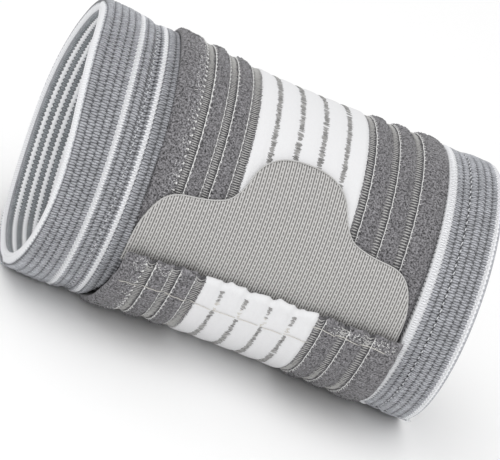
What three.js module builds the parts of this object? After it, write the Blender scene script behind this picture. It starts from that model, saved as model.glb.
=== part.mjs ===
// Elastic wrist wrap: a knitted sleeve with a terry strap wound round it and a hook tab.
// Millimetres. The sleeve's axis is X, the strap's end shows on the -Y side, and +Z is up.
// The wrap lies on its side, flattened a little where it rests on z = 0.

import * as THREE from "three";

// Sleeve
const leftReveal = 18.4;
const rightReveal = 13.0;
const leftRimRadius = 29.7;
const rightRimRadius = 28.3;
const sleeveWall = 1.5;
const sleeveSettle = 0.8;
const leftRimWave = 1.5;

// Cuff linings, the hems folded inside each end of the sleeve
const leftHemDepth = 13.4;
const rightHemDepth = 7.8;
const liningWall = 1.0;

// Strap
const channelCount = 10;
const channelPitch = 5.2;
const strapMargin = 6.4;
const strapThickness = 2.4;
const channelDepth = 0.7;
const strapLeftRadius = 29.3;
const strapRightRadius = 28.9;
const waistRadius = 28.0;
const waistCurve = 2.4;
const hemAngle = -9.6;
const seamAngle = -90;
const riseTurn = 200;
const seamReleaseTurn = 330;
const hemScallop = 0.5;
const ribShoulder = 0.22;

// Hook tab
const tabWidth = 58.6;
const tabRise = 28.0;
const tabTuck = 3.5;
const tabThickness = 1.1;

// How the pieces lie
const clearance = 0.3;
const restFlattening = 0.45;
const sectionLean = 0.045;
const leanPhase = 20;
const weaveTwist = 0.1;
const angleStep = 9;

const strapWidth = 2 * strapMargin + (channelCount - 1) * channelPitch;
const strapHalf = strapWidth / 2;
const leftRim = -strapHalf - leftReveal;
const rightRim = strapHalf + rightReveal;
const layerPitch = strapThickness + clearance;
const woundTurn = 360 + hemAngle - seamAngle;
const tabRoom = tabThickness + clearance;
const degreesPerMillimetre = 180 / (Math.PI * waistRadius);

// Sleeve sections. reveal runs from the rim at 0 to the strap's edge at 1, settle is a share of
// sleeveSettle, lip a share of the wall, and pinch says how far the strap squeezes the section in.
const revealSections = [
  { reveal: 0.0, settle: 0.0, lip: 0.5, pinch: 0 },
  { reveal: 0.016, settle: 0.0, lip: 0.14, pinch: 0 },
  { reveal: 0.06, settle: 0.0, lip: 0.0, pinch: 0 },
  { reveal: 0.34, settle: 0.1, lip: 0.0, pinch: 0 },
  { reveal: 0.56, settle: 0.45, lip: 0.0, pinch: 0 },
  { reveal: 0.72, settle: 1.0, lip: 0.0, pinch: 0 },
  { reveal: 0.88, settle: 0.9, lip: 0.0, pinch: 0 },
  { reveal: 0.965, settle: 1.0, lip: 0.0, pinch: 1 },
];

// Stations under the strap, as shares of half its width.
const strapStations = [-1, -0.88, -0.66, -0.36, 0, 0.36, 0.66, 0.88, 1];

// Lining sections. depth is a share of the hem's depth and lip a share of the lining's wall.
const liningSections = [
  { depth: 0.02, lip: 0.5 },
  { depth: 0.05, lip: 0.1 },
  { depth: 0.5, lip: 0.0 },
  { depth: 0.95, lip: 0.1 },
  { depth: 0.98, lip: 0.5 },
];

// The strap's rounded edges. inset is a share of the margin and depth of the strap's thickness.
const edgeSections = [
  { inset: 0.0, depth: 0.5 },
  { inset: 0.08, depth: 0.15 },
  { inset: 0.3, depth: 0.0 },
];
const innerEdgeRound = 0.2;

// Where the strap starts to rise over the tab, as a share of the turn from the seam to the hem.
const liftStart = 0.4;

// Strap end. back is the distance from the folded end in shares of the strap's thickness, and
// squeeze is how far the stitch rows and the rounded fold draw the outside in, in shares of it.
const hemSections = [
  { back: 5.2, squeeze: 0.0, scallop: 0 },
  { back: 4.2, squeeze: 0.3, scallop: 0 },
  { back: 2.85, squeeze: 0.0, scallop: 0 },
  { back: 1.5, squeeze: 0.3, scallop: 0 },
  { back: 0.75, squeeze: 0.05, scallop: 0 },
  { back: 0.2, squeeze: 0.15, scallop: 1 },
  { back: 0.0, squeeze: 0.4, scallop: 1 },
];

// Tab outline. rise is a share of the tab's rise above the strap's end, reach of half its width.
const tabSections = [
  { rise: 0.0, reach: 1.0 },
  { rise: 0.18, reach: 0.99 },
  { rise: 0.31, reach: 0.956 },
  { rise: 0.4, reach: 0.915 },
  { rise: 0.46, reach: 0.86 },
  { rise: 0.495, reach: 0.78 },
  { rise: 0.513, reach: 0.65 },
  { rise: 0.535, reach: 0.55 },
  { rise: 0.57, reach: 0.465 },
  { rise: 0.625, reach: 0.415 },
  { rise: 0.71, reach: 0.37 },
  { rise: 0.8, reach: 0.34 },
  { rise: 0.875, reach: 0.3 },
  { rise: 0.94, reach: 0.235 },
  { rise: 0.98, reach: 0.16 },
  { rise: 1.0, reach: 0.07 },
];
const tabColumns = 18;

const radians = THREE.MathUtils.degToRad;
const smooth = THREE.MathUtils.smoothstep;

// Outside radius of the whole wrap at a place along its axis.
function girth(along) {
  if (along < -strapHalf) {
    return THREE.MathUtils.lerp(leftRimRadius, strapLeftRadius, smooth(along, leftRim, -strapHalf));
  }
  if (along > strapHalf) {
    return THREE.MathUtils.lerp(strapRightRadius, rightRimRadius, smooth(along, strapHalf, rightRim));
  }
  const edgeRadius = along < 0 ? strapLeftRadius : strapRightRadius;
  return waistRadius + (edgeRadius - waistRadius) * Math.abs(along / strapHalf) ** waistCurve;
}

// A point of the wrap. turn is in degrees from the lengthwise seam, up the front, over the top.
function place(along, turn, radius) {
  const angle = radians(seamAngle + turn + weaveTwist * along);
  const down = -Math.sin(angle);
  const restHeight = waistRadius - restFlattening;
  const outside = girth(along) + layerPitch * Math.max(0, climb(turn) - 1);
  const flattening = down > 0 ? Math.max(0, outside - restHeight / down) : 0;
  const reach = radius - flattening;
  const leanAngle = angle - radians(leanPhase);
  const rimShare = THREE.MathUtils.clamp((-strapHalf - along) / leftReveal, 0, 1);
  const wave = leftRimWave * rimShare * Math.cos(leanAngle) ** 2;
  return new THREE.Vector3(
    along - wave - sectionLean * reach * Math.sin(leanAngle),
    -reach * Math.cos(angle),
    reach * Math.sin(angle) + restHeight,
  );
}

// How far the winding has climbed onto its own start, in layers.
function climb(turn) {
  const wholeTurns = Math.floor(turn / 360);
  return wholeTurns + smooth(turn - 360 * wholeTurns, 0, riseTurn);
}

// Outside radius of the strap's winding, before channels and stitches.
function strapRadius(along, turn) {
  const hemTurn = woundTurn - hemSections[0].back * strapThickness * degreesPerMillimetre;
  const lift = tabRoom * smooth(turn, THREE.MathUtils.lerp(360, hemTurn, liftStart), hemTurn);
  return girth(along) + layerPitch * (climb(turn) - 1) + lift;
}

// Outside radius of the sleeve where the strap squeezes it in.
function pinchedRadius(along, turn) {
  const seamRelease = 1 - smooth(turn, seamReleaseTurn, 360);
  return girth(along) + layerPitch * (climb(turn) * seamRelease - 1) - layerPitch;
}

// A closed body from rings of points, joined end to end or capped at both ends.
function loft(rings, joined) {
  const size = rings[0].length;
  const corners = [];
  const faces = [];
  for (const ring of rings) {
    for (const point of ring) {
      corners.push(point.x, point.y, point.z);
    }
  }
  const spans = joined ? rings.length : rings.length - 1;
  for (let row = 0; row < spans; row += 1) {
    const next = (row + 1) % rings.length;
    for (let column = 0; column < size; column += 1) {
      const beside = (column + 1) % size;
      const a = row * size + column;
      const b = row * size + beside;
      const c = next * size + beside;
      const d = next * size + column;
      faces.push(a, b, c, a, c, d);
    }
  }
  if (!joined) {
    const last = (rings.length - 1) * size;
    for (const [a, b, c] of capFaces(size)) {
      faces.push(a, c, b);
      faces.push(last + a, last + b, last + c);
    }
  }
  const geometry = new THREE.BufferGeometry();
  geometry.setAttribute("position", new THREE.Float32BufferAttribute(corners, 3));
  geometry.setIndex(turnOutwards(corners, faces));
  geometry.computeVertexNormals();
  return geometry;
}

// End faces of a flat ring whose first half runs one way and whose second half runs back.
function capFaces(size) {
  const faces = [];
  let front = 0;
  let back = size - 1;
  while (back - front > 1) {
    faces.push([front, front + 1, back]);
    front += 1;
    if (back - front > 1) {
      faces.push([front, back - 1, back]);
      back -= 1;
    }
  }
  return faces;
}

// Reverses the faces of a body whose volume comes out negative.
function turnOutwards(corners, faces) {
  const corner = (index) => new THREE.Vector3().fromArray(corners, 3 * index);
  let volume = 0;
  for (let start = 0; start < faces.length; start += 3) {
    const [a, b, c] = faces.slice(start, start + 3).map(corner);
    volume += a.dot(b.cross(c));
  }
  return volume < 0 ? faces.reverse() : faces;
}

// Turns of the rings round the wrap, in degrees from the seam.
function wholeTurn() {
  return Array.from({ length: 360 / angleStep }, (unused, index) => index * angleStep);
}

// The sleeve's sections from the left rim to the right rim.
function sleeveSections() {
  const left = revealSections.map((row) => ({ ...row, along: leftRim + row.reveal * leftReveal }));
  const middle = strapStations.map((share) => ({
    settle: 0,
    lip: 0,
    pinch: 1,
    along: share * strapHalf,
  }));
  const right = revealSections.map((row) => ({ ...row, along: rightRim - row.reveal * rightReveal }));
  return [...left, ...middle, ...right.reverse()];
}

// Outside radius of the sleeve at one of its sections.
function sleeveRadius(section, turn) {
  const free = girth(section.along) - sleeveSettle * section.settle;
  return THREE.MathUtils.lerp(free, pinchedRadius(section.along, turn), section.pinch);
}

function sleeve() {
  const sections = sleeveSections();
  const inner = sections.slice(1, -1).reverse();
  const rings = wholeTurn().map((turn) => [
    ...sections.map((row) => place(row.along, turn, sleeveRadius(row, turn) - row.lip * sleeveWall)),
    ...inner.map((row) => place(row.along, turn, sleeveRadius(row, turn) - (1 - row.lip) * sleeveWall)),
  ]);
  return loft(rings, true);
}

// Outside radius of the sleeve at any place between the rim and the strap.
function revealRadius(reveal, along) {
  const next = Math.max(1, revealSections.findIndex((row) => row.reveal >= reveal));
  const low = revealSections[next - 1];
  const high = revealSections[next];
  const share = (reveal - low.reveal) / (high.reveal - low.reveal);
  return girth(along) - sleeveSettle * THREE.MathUtils.lerp(low.settle, high.settle, share);
}

// The hem folded inside one end. inwards is 1 at the left end and -1 at the right end.
function cuffLining(rim, inwards, reveal, depth) {
  const lips = liningSections.map((row) => {
    const along = rim + inwards * row.depth * depth;
    const outside = revealRadius((row.depth * depth) / reveal, along) - sleeveWall - clearance;
    return { along, outside, lip: row.lip * liningWall };
  });
  const inner = lips.slice(1, -1).reverse();
  const rings = wholeTurn().map((turn) => [
    ...lips.map((row) => place(row.along, turn, row.outside - row.lip)),
    ...inner.map((row) => place(row.along, turn, row.outside - liningWall + row.lip)),
  ]);
  return loft(rings, true);
}

// The strap's outside from its left edge to its right: padded ribs between sunk channels.
function ribProfile() {
  const edge = edgeSections.map((row) => ({
    along: strapHalf - row.inset * strapMargin,
    depth: row.depth * strapThickness,
    rib: row.depth > 0 ? 0 : 1,
  }));
  const points = edge.map((point) => ({ ...point, along: -point.along }));
  for (let channel = 0; channel < channelCount; channel += 1) {
    const along = -strapHalf + strapMargin + channel * channelPitch;
    points.push({ along: along - ribShoulder * channelPitch, depth: 0, rib: 1 });
    points.push({ along, depth: channelDepth, rib: -1 });
    points.push({ along: along + ribShoulder * channelPitch, depth: 0, rib: 1 });
  }
  return [...points, ...edge.reverse()];
}

// Turns of the strap's rings: even steps, then the sections of its sewn end.
function strapRings() {
  const hemRings = hemSections.map((row) => ({
    ...row,
    turn: woundTurn - row.back * strapThickness * degreesPerMillimetre,
  }));
  const rings = [];
  for (let turn = 0; turn < hemRings[0].turn - angleStep / 4; turn += angleStep) {
    rings.push({ turn, squeeze: 0, scallop: 0 });
  }
  return [...rings, ...hemRings];
}

function strap() {
  const profile = ribProfile();
  const rings = strapRings().map(({ turn, squeeze, scallop }) => {
    const outer = profile.map((point) => {
      const depth = Math.max(point.depth, squeeze * strapThickness);
      const end = turn + scallop * point.rib * hemScallop * degreesPerMillimetre;
      return place(point.along, end, strapRadius(point.along, turn) - depth);
    });
    const inner = strapStations.map((share) => {
      const along = share * strapHalf;
      const tuckIn = Math.abs(share) === 1 ? innerEdgeRound * strapThickness : 0;
      return place(along, turn, strapRadius(along, turn) - strapThickness + tuckIn);
    });
    return [...outer, ...inner.reverse()];
  });
  return loft(rings, false);
}

function hookTab() {
  const rootTurn = woundTurn - 360;
  const rows = [
    { turn: rootTurn - tabTuck * degreesPerMillimetre, half: tabWidth / 2 },
    ...tabSections.map((row) => ({
      turn: rootTurn + row.rise * tabRise * degreesPerMillimetre,
      half: (row.reach * tabWidth) / 2,
    })),
  ];
  const columns = Array.from({ length: tabColumns + 1 }, (unused, index) => (2 * index) / tabColumns - 1);
  const rings = rows.map(({ turn, half }) => {
    const under = columns.map((share) => {
      const along = share * half;
      return place(along, turn, strapRadius(along, turn) + clearance);
    });
    const over = columns.map((share) => {
      const along = share * half;
      return place(along, turn, strapRadius(along, turn) + clearance + tabThickness);
    });
    return [...over, ...under.reverse()];
  });
  return loft(rings, false);
}

function clothMesh(name, geometry, color, roughness) {
  const material = new THREE.MeshStandardMaterial({ color, roughness, metalness: 0 });
  const mesh = new THREE.Mesh(geometry, material);
  mesh.name = name;
  return mesh;
}

const wrap = new THREE.Group();
wrap.add(clothMesh("sleeve", sleeve(), 0x8a8d91, 0.85));
wrap.add(clothMesh("cuff_lining_left", cuffLining(leftRim, 1, leftReveal, leftHemDepth), 0xb9babc, 0.85));
wrap.add(clothMesh("cuff_lining_right", cuffLining(rightRim, -1, rightReveal, rightHemDepth), 0xb9babc, 0.85));
wrap.add(clothMesh("strap", strap(), 0x6f6f72, 0.95));
wrap.add(clothMesh("hook_tab", hookTab(), 0xaaa7a2, 0.8));

// The middle of the resting base comes to the origin.
const bounds = new THREE.Box3().setFromObject(wrap);
const middle = bounds.getCenter(new THREE.Vector3());
wrap.position.set(-middle.x, -middle.y, -bounds.min.z);
wrap.updateMatrixWorld(true);

export default wrap;
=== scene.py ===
import logging
import math
from dataclasses import dataclass, field
from enum import Enum
from typing import Callable, Optional, Sequence, Union

import bpy
import numpy as np
from mathutils import Matrix, Vector


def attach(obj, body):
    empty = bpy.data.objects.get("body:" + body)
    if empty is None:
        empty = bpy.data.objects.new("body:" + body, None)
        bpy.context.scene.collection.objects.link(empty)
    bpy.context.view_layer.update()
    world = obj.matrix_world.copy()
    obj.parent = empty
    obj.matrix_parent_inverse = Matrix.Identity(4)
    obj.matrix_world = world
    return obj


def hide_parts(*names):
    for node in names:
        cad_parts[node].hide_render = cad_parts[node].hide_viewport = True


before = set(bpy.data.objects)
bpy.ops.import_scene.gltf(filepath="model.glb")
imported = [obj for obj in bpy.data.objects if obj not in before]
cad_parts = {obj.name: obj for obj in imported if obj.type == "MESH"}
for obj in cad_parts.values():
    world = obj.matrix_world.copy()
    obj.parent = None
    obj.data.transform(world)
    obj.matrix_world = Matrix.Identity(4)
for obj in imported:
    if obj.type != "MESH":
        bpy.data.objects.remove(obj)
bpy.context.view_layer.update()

LOG = logging.getLogger("wrist_wrap")

MM = 0.001
CLOTH_MAP = "cloth"
THREAD_STEP = 7.3
MIX_SOCKETS = (0, 6, 7)
MIX_COLOUR = 2
SPECULAR = 0.2
SHEEN_ROUGHNESS = 0.6
BODY = "root"

Number = Union[float, np.ndarray]
Colour = tuple[float, float, float]
Place = tuple[float, float, float]
Table = Sequence[tuple[float, float]]
Pair = tuple[np.ndarray, np.ndarray]


def smooth(value: Number, low: float, high: float) -> np.ndarray:
    """An S-curve step from 0 at low to 1 at high.

    Args:
        value: where the step is read.
        low: where the step starts.
        high: where the step ends.

    Returns:
        The step, from 0 to 1.
    """
    share = np.clip((np.asarray(value, float) - low) / (high - low), 0.0, 1.0)
    return share * share * (3.0 - 2.0 * share)


def hump(value: Number, middle: float, width: float) -> np.ndarray:
    """A bell of height 1 round a middle.

    Args:
        value: where the bell is read.
        middle: the place of its top.
        width: how far from the top it has fallen to about a third.

    Returns:
        The bell's height.
    """
    return np.exp(-(((np.asarray(value, float) - middle) / width) ** 2))


def eased(value: Number, table: Table) -> np.ndarray:
    """A table read with an S-curve between its rows.

    Args:
        value: where the table is read.
        table: rows of place and height, in rising places.

    Returns:
        The height.
    """
    places, heights = np.array(table, float).T
    value = np.asarray(value, float)
    row = np.clip(np.searchsorted(places, value) - 1, 0, len(places) - 2)
    share = np.clip((value - places[row]) / (places[row + 1] - places[row]), 0.0, 1.0)
    share = share * share * (3.0 - 2.0 * share)
    return heights[row] + (heights[row + 1] - heights[row]) * share


def flowing(points: Table, steps: int) -> np.ndarray:
    """A smooth curve through an outline's points.

    Args:
        points: the outline's points.
        steps: how many pieces each span is cut into.

    Returns:
        The curve's points, one row each.
    """
    given = np.array(points, float)
    ends = np.vstack([2 * given[0] - given[1], given, 2 * given[-1] - given[-2]])
    share = np.linspace(0.0, 1.0, steps, endpoint=False)[:, None]
    spans = []
    for row in range(len(given) - 1):
        before, start, end, after = ends[row:row + 4]
        spans.append(0.5 * (
            2 * start
            + (end - before) * share
            + (2 * before - 5 * start + 4 * end - after) * share**2
            + (3 * start - before - 3 * end + after) * share**3
        ))
    return np.vstack([*spans, given[-1:]])


def arched(share: np.ndarray) -> np.ndarray:
    """A quarter circle's height, from 0 at 0 to 1 at 1 and past it."""
    return np.sqrt(1 - (1 - np.clip(share, 0.0, 1.0)) ** 2)


def charted(first: Number, second: Number) -> np.ndarray:
    """A cloth map from its two coordinates."""
    return np.stack(np.broadcast_arrays(first, second), axis=-1)


def full_turn(rows: int, closed: bool = False) -> np.ndarray:
    """A column of evenly spaced turns, with 360 degrees as one more row if it is closed."""
    return np.arange(rows + closed)[:, None] * (360.0 / rows)


def added(name: str, data: bpy.types.ID) -> bpy.types.Object:
    """A new object in the scene.

    Args:
        name: its name.
        data: its mesh, light or camera data.

    Returns:
        The object, linked to the scene's collection.
    """
    thing = bpy.data.objects.new(name, data)
    bpy.context.scene.collection.objects.link(thing)
    return thing


def shader_of(material: bpy.types.Material) -> bpy.types.Node:
    """The shader of a new material."""
    material.use_nodes = True
    return next(n for n in material.node_tree.nodes if n.type == "BSDF_PRINCIPLED")


@dataclass(frozen=True)
class Bump:
    """A bell-shaped swelling, with its height, its middle and its width."""

    height: float
    middle: float
    width: float

    def at(self, value: Number) -> np.ndarray:
        """Its height at a place."""
        return self.height * hump(value, self.middle, self.width)


@dataclass(frozen=True)
class WrapForm:
    """The wrap's shape: a place along its axis, a turn round it and a radius give a point.

    Sizes are in millimetres and degrees, and points come out in metres. Turns start at the
    lengthwise seam on the underside, run up the front and over the top.
    """

    strap_width: float = 59.6
    left_reveal: float = 18.4
    right_reveal: float = 13.0
    left_rim_radius: float = 29.7
    right_rim_radius: float = 28.3
    strap_left_radius: float = 29.3
    strap_right_radius: float = 28.9
    waist_radius: float = 28.0
    waist_curve: float = 2.4
    strap_thickness: float = 2.4
    sleeve_wall: float = 1.5
    sleeve_settle: float = 0.8
    tab_thickness: float = 1.1
    clearance: float = 0.3
    seam_angle: float = -90.0
    hem_angle: float = -9.6
    rise_turn: float = 200.0
    seam_release_turn: float = 330.0
    lift_start: float = 0.4
    hem_depth: float = 12.48
    left_rim_wave: float = 1.5
    pinch_start: float = -0.45
    pinch_width: float = 0.36
    valley: Bump = Bump(0.3, 70.0, 20.0)
    left_spread: Bump = Bump(1.9, 384.0, 26.0)
    top_spread: Bump = Bump(0.5, 185.0, 40.0)
    left_tuck: float = 0.9
    tuck_span: tuple[float, float] = (412.0, 434.0)
    left_lap: Bump = Bump(1.3, 68.0, 20.0)
    inside_start: float = 0.3
    inside_width: float = 1.3
    right_spread: Bump = Bump(0.5, 396.0, 36.0)
    right_reach: float = 0.6
    rest_flattening: float = 0.45
    rest_softness: float = 0.8
    rim_lift: Bump = Bump(2.0, 180.0, 40.0)
    section_lean: float = 0.045
    lean_phase: float = 20.0
    weave_twist: float = 0.1
    middle: tuple[float, float] = (2.972, 0.4775)
    bell_start: float = -60.0
    rim_bell: Table = (
        (0.0, 0.4), (70.0, -1.25), (154.0, 2.5), (217.0, 0.1),
        (244.0, 0.25), (265.0, 0.85), (325.0, 0.25), (360.0, 0.4),
    )
    settle_table: Table = (
        (0.0, 0.0), (0.06, 0.0), (0.34, 0.1), (0.56, 0.45), (0.72, 1.0), (0.88, 0.9), (1.0, 1.0),
    )

    @property
    def strap_half(self) -> float:
        """Half the strap's width."""
        return self.strap_width / 2

    @property
    def left_rim(self) -> float:
        """The left rim's place along the axis."""
        return -self.strap_half - self.left_reveal

    @property
    def right_rim(self) -> float:
        """The right rim's place along the axis."""
        return self.strap_half + self.right_reveal

    @property
    def length(self) -> float:
        """The sleeve's length."""
        return self.right_rim - self.left_rim

    @property
    def layer_pitch(self) -> float:
        """From one winding of the strap to the next."""
        return self.strap_thickness + self.clearance

    @property
    def wound_turn(self) -> float:
        """The turn at the strap's sewn end."""
        return 360.0 + self.hem_angle - self.seam_angle

    @property
    def degrees_per_mm(self) -> float:
        """How far a millimetre of cloth reaches round the waist."""
        return 180.0 / (math.pi * self.waist_radius)

    def girth(self, along: Number) -> np.ndarray:
        """Outside radius of the whole wrap.

        Args:
            along: places along the axis.

        Returns:
            The radius at each place.
        """
        along = np.asarray(along, float)
        half = self.strap_half
        left = self.left_rim_radius + (self.strap_left_radius - self.left_rim_radius) * smooth(
            along, self.left_rim, -half)
        right = self.strap_right_radius + (self.right_rim_radius - self.strap_right_radius) * smooth(
            along, half, self.right_rim)
        edge = np.where(along < 0, self.strap_left_radius, self.strap_right_radius)
        curve = np.abs(np.clip(along / half, -1.0, 1.0)) ** self.waist_curve
        waist = self.waist_radius + (edge - self.waist_radius) * curve
        return np.where(along < -half, left, np.where(along > half, right, waist))

    def climb(self, turn: Number) -> np.ndarray:
        """How far the winding has climbed onto its own start, in layers."""
        whole = np.floor(np.asarray(turn, float) / 360.0)
        return whole + smooth(turn - 360.0 * whole, 0.0, self.rise_turn)

    def place(self, along: Number, turn: Number, radius: Number) -> np.ndarray:
        """Points of the wrap.

        Args:
            along: places along the axis.
            turn: turns from the seam.
            radius: distances from the axis.

        Returns:
            The points in metres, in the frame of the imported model.
        """
        along, turn, radius = np.broadcast_arrays(
            np.asarray(along, float), np.asarray(turn, float), np.asarray(radius, float))
        angle = np.radians(self.seam_angle + turn + self.weave_twist * along)
        down = -np.sin(angle)
        rest_height = self.waist_radius - self.rest_flattening
        rim_share = np.clip((-self.strap_half - along) / self.left_reveal, 0.0, 1.0)
        lift = rim_share**2 * self.rim_lift.at((turn + 180.0) % 360.0)
        outside = self.girth(along) + self.layer_pitch * np.maximum(0.0, self.climb(turn) - 1.0) - lift
        low = outside - rest_height / np.maximum(down, 1e-6)
        below = (low + np.sqrt(low**2 + self.rest_softness**2)) / 2
        reach = radius - lift - np.where(down > 1e-6, below, 0.0)
        lean = angle - math.radians(self.lean_phase)
        wave = self.left_rim_wave * rim_share * np.cos(lean) ** 2
        bell = rim_share**2 * eased((turn - self.bell_start) % 360.0, self.rim_bell)
        x = along - wave + bell - self.section_lean * reach * np.sin(lean) + self.middle[0]
        y = -reach * np.cos(angle) + self.middle[1]
        z = np.maximum(reach * np.sin(angle) + rest_height, 0.0)
        return np.stack([x, y, z], axis=-1) * MM

    def upright(self, along: Number, turn: Number, radius: Number) -> tuple[np.ndarray, np.ndarray]:
        """Points of the wrap in metres, and the outward direction at each of them."""
        points = self.place(along, turn, radius)
        return points, (self.place(along, turn, radius + 1.0) - points) / MM

    def strap_radius(self, along: Number, turn: Number) -> np.ndarray:
        """Outside radius of the strap's winding, before its channels and stitches.

        Args:
            along: places along the axis.
            turn: turns of the winding, 360 and more on the second one.

        Returns:
            The radius.
        """
        hem_turn = self.wound_turn - self.hem_depth * self.degrees_per_mm
        lift_turn = 360.0 + (hem_turn - 360.0) * self.lift_start
        tab_room = self.tab_thickness + self.clearance
        lift = tab_room * smooth(turn, lift_turn, hem_turn)
        return self.girth(along) + self.layer_pitch * (self.climb(turn) - 1.0) + lift

    def pinched_radius(self, along: Number, turn: Number) -> np.ndarray:
        """Outside radius of the sleeve where the strap squeezes it in."""
        release = 1.0 - smooth(turn, self.seam_release_turn, 360.0)
        return self.girth(along) + self.layer_pitch * (self.climb(turn) * release - 2.0)

    def spread(self, along: Number, turn: Number) -> np.ndarray:
        """How far the strap reaches out over the cuffs past its even width.

        Args:
            along: places along the axis; their sign picks the left or the right edge.
            turn: turns of the winding, 360 and more on the second one.

        Returns:
            The reach in millimetres.
        """
        left = self.left_spread.at(turn) - self.left_tuck * smooth(turn, *self.tuck_span)
        left = left + self.top_spread.at(turn)
        return np.where(np.asarray(along) < 0, left, self.right_reach + self.right_spread.at(turn))

    def covered(self, along: Number, turn: Number) -> np.ndarray:
        """How far either winding of the strap reaches out over a cuff, in millimetres.

        Args:
            along: places along the axis; their sign picks the left or the right cuff.
            turn: turns from the seam.

        Returns:
            The reach, less the cuff's own bulge over the strap.
        """
        second = np.asarray(turn, float) + 360.0
        wound = 1.0 - smooth(second, self.wound_turn - 1.5, self.wound_turn + 0.5)
        reach = np.maximum(np.maximum(self.spread(along, turn), self.spread(along, second) * wound), 0.0)
        return reach - self.lap(along, turn)

    def lap(self, along: Number, turn: Number) -> np.ndarray:
        """How far the left cuff bulges over the strap's edge beside its sewn end, in millimetres."""
        return self.left_lap.at(turn) * (np.asarray(along) < 0)

    def reveal_share(self, along: Number) -> np.ndarray:
        """From 0 at the nearer rim to 1 at the strap's edge and under it.

        Args:
            along: places along the axis.

        Returns:
            The share at each place.
        """
        left = (np.asarray(along, float) - self.left_rim) / self.left_reveal
        right = (self.right_rim - np.asarray(along, float)) / self.right_reveal
        return np.clip(np.minimum(left, right), 0.0, 1.0)

    def free_radius(self, along: Number) -> np.ndarray:
        """Outside radius of the cuffs where nothing squeezes them in."""
        share = self.reveal_share(along)
        return self.girth(along) - self.sleeve_settle * eased(share, self.settle_table)

    def sleeve_radius(self, along: Number, turn: Number, inside: bool = False) -> np.ndarray:
        """Outside radius of the sleeve, before its knit.

        Args:
            along: places along the axis.
            turn: turns from the seam.
            inside: whether it is for the sleeve's inside, which draws in before the strap's edge.

        Returns:
            The radius, drawn in where the strap lies over it.
        """
        free = self.free_radius(along)
        along, turn = np.asarray(along, float), np.asarray(turn, float)
        gap = np.abs(along) - self.strap_half - self.covered(along, turn)
        start, width = self.pinch_start, self.pinch_width + self.valley.at(turn) * (along < 0)
        if inside:
            gap = gap - self.lap(along, turn)
            start, width = self.inside_start, self.inside_width
        pinch = 1.0 - smooth((gap - start) / width, 0.0, 1.0)
        return free + (self.pinched_radius(along, turn) - free) * pinch


class Maths(Enum):
    """Sums that a material's nodes can do."""

    ADD = "ADD"
    TAKE = "SUBTRACT"
    TIMES = "MULTIPLY"
    OVER = "DIVIDE"
    ROOT = "SQRT"
    FLOOR = "FLOOR"
    FRACTION = "FRACT"
    SIZE = "ABSOLUTE"
    MOST = "MAXIMUM"
    BACK_AND_FORTH = "PINGPONG"
    MODULO = "FLOORED_MODULO"


def sum_method(kind: Maths, last: bool = False) -> Callable[..., "Term"]:
    """A method that does one sum.

    Args:
        kind: which sum.
        last: whether the term itself stands last in it.

    Returns:
        The method.
    """
    def method(term: "Term", *others: "Value") -> "Term":
        """The sum of the term and the others."""
        return term.weave.sum_of(kind, *((*others, term) if last else (term, *others)))
    return method


class Term:
    """A value in a material's nodes, worked with like a number."""

    __add__ = __radd__ = sum_method(Maths.ADD)
    __sub__ = sum_method(Maths.TAKE)
    __rsub__ = sum_method(Maths.TAKE, last=True)
    __mul__ = __rmul__ = sum_method(Maths.TIMES)
    __truediv__ = sum_method(Maths.OVER)
    floor = sum_method(Maths.FLOOR)
    fraction = sum_method(Maths.FRACTION)
    size = sum_method(Maths.SIZE)
    root = sum_method(Maths.ROOT)
    most = sum_method(Maths.MOST)

    def __init__(self, weave: "Weave", socket: bpy.types.NodeSocket) -> None:
        """Holds the socket that gives the value."""
        self.weave = weave
        self.socket = socket

    def zigzag(self, pitch: float) -> "Term":
        """A triangle wave of that pitch, from 0 to 1."""
        return self.weave.sum_of(Maths.BACK_AND_FORTH, self, pitch / 2) / (pitch / 2)

    def odd(self) -> "Term":
        """1 where the whole number below is odd, else 0."""
        return self.weave.sum_of(Maths.MODULO, self.floor(), 2.0)

    def step(self, low: float, high: float) -> "Term":
        """An S-curve step from 0 at low to 1 at high."""
        return self.weave.step(self, low, high)

    def between(self, low: float, high: float, soft: float) -> "Term":
        """1 between low and high, with edges that are soft mm wide."""
        half = soft / 2
        return self.step(low - half, low + half) * (1.0 - self.step(high - half, high + half))


Value = Union[Term, float]
Paint = Union[bpy.types.NodeSocket, Colour]


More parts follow.
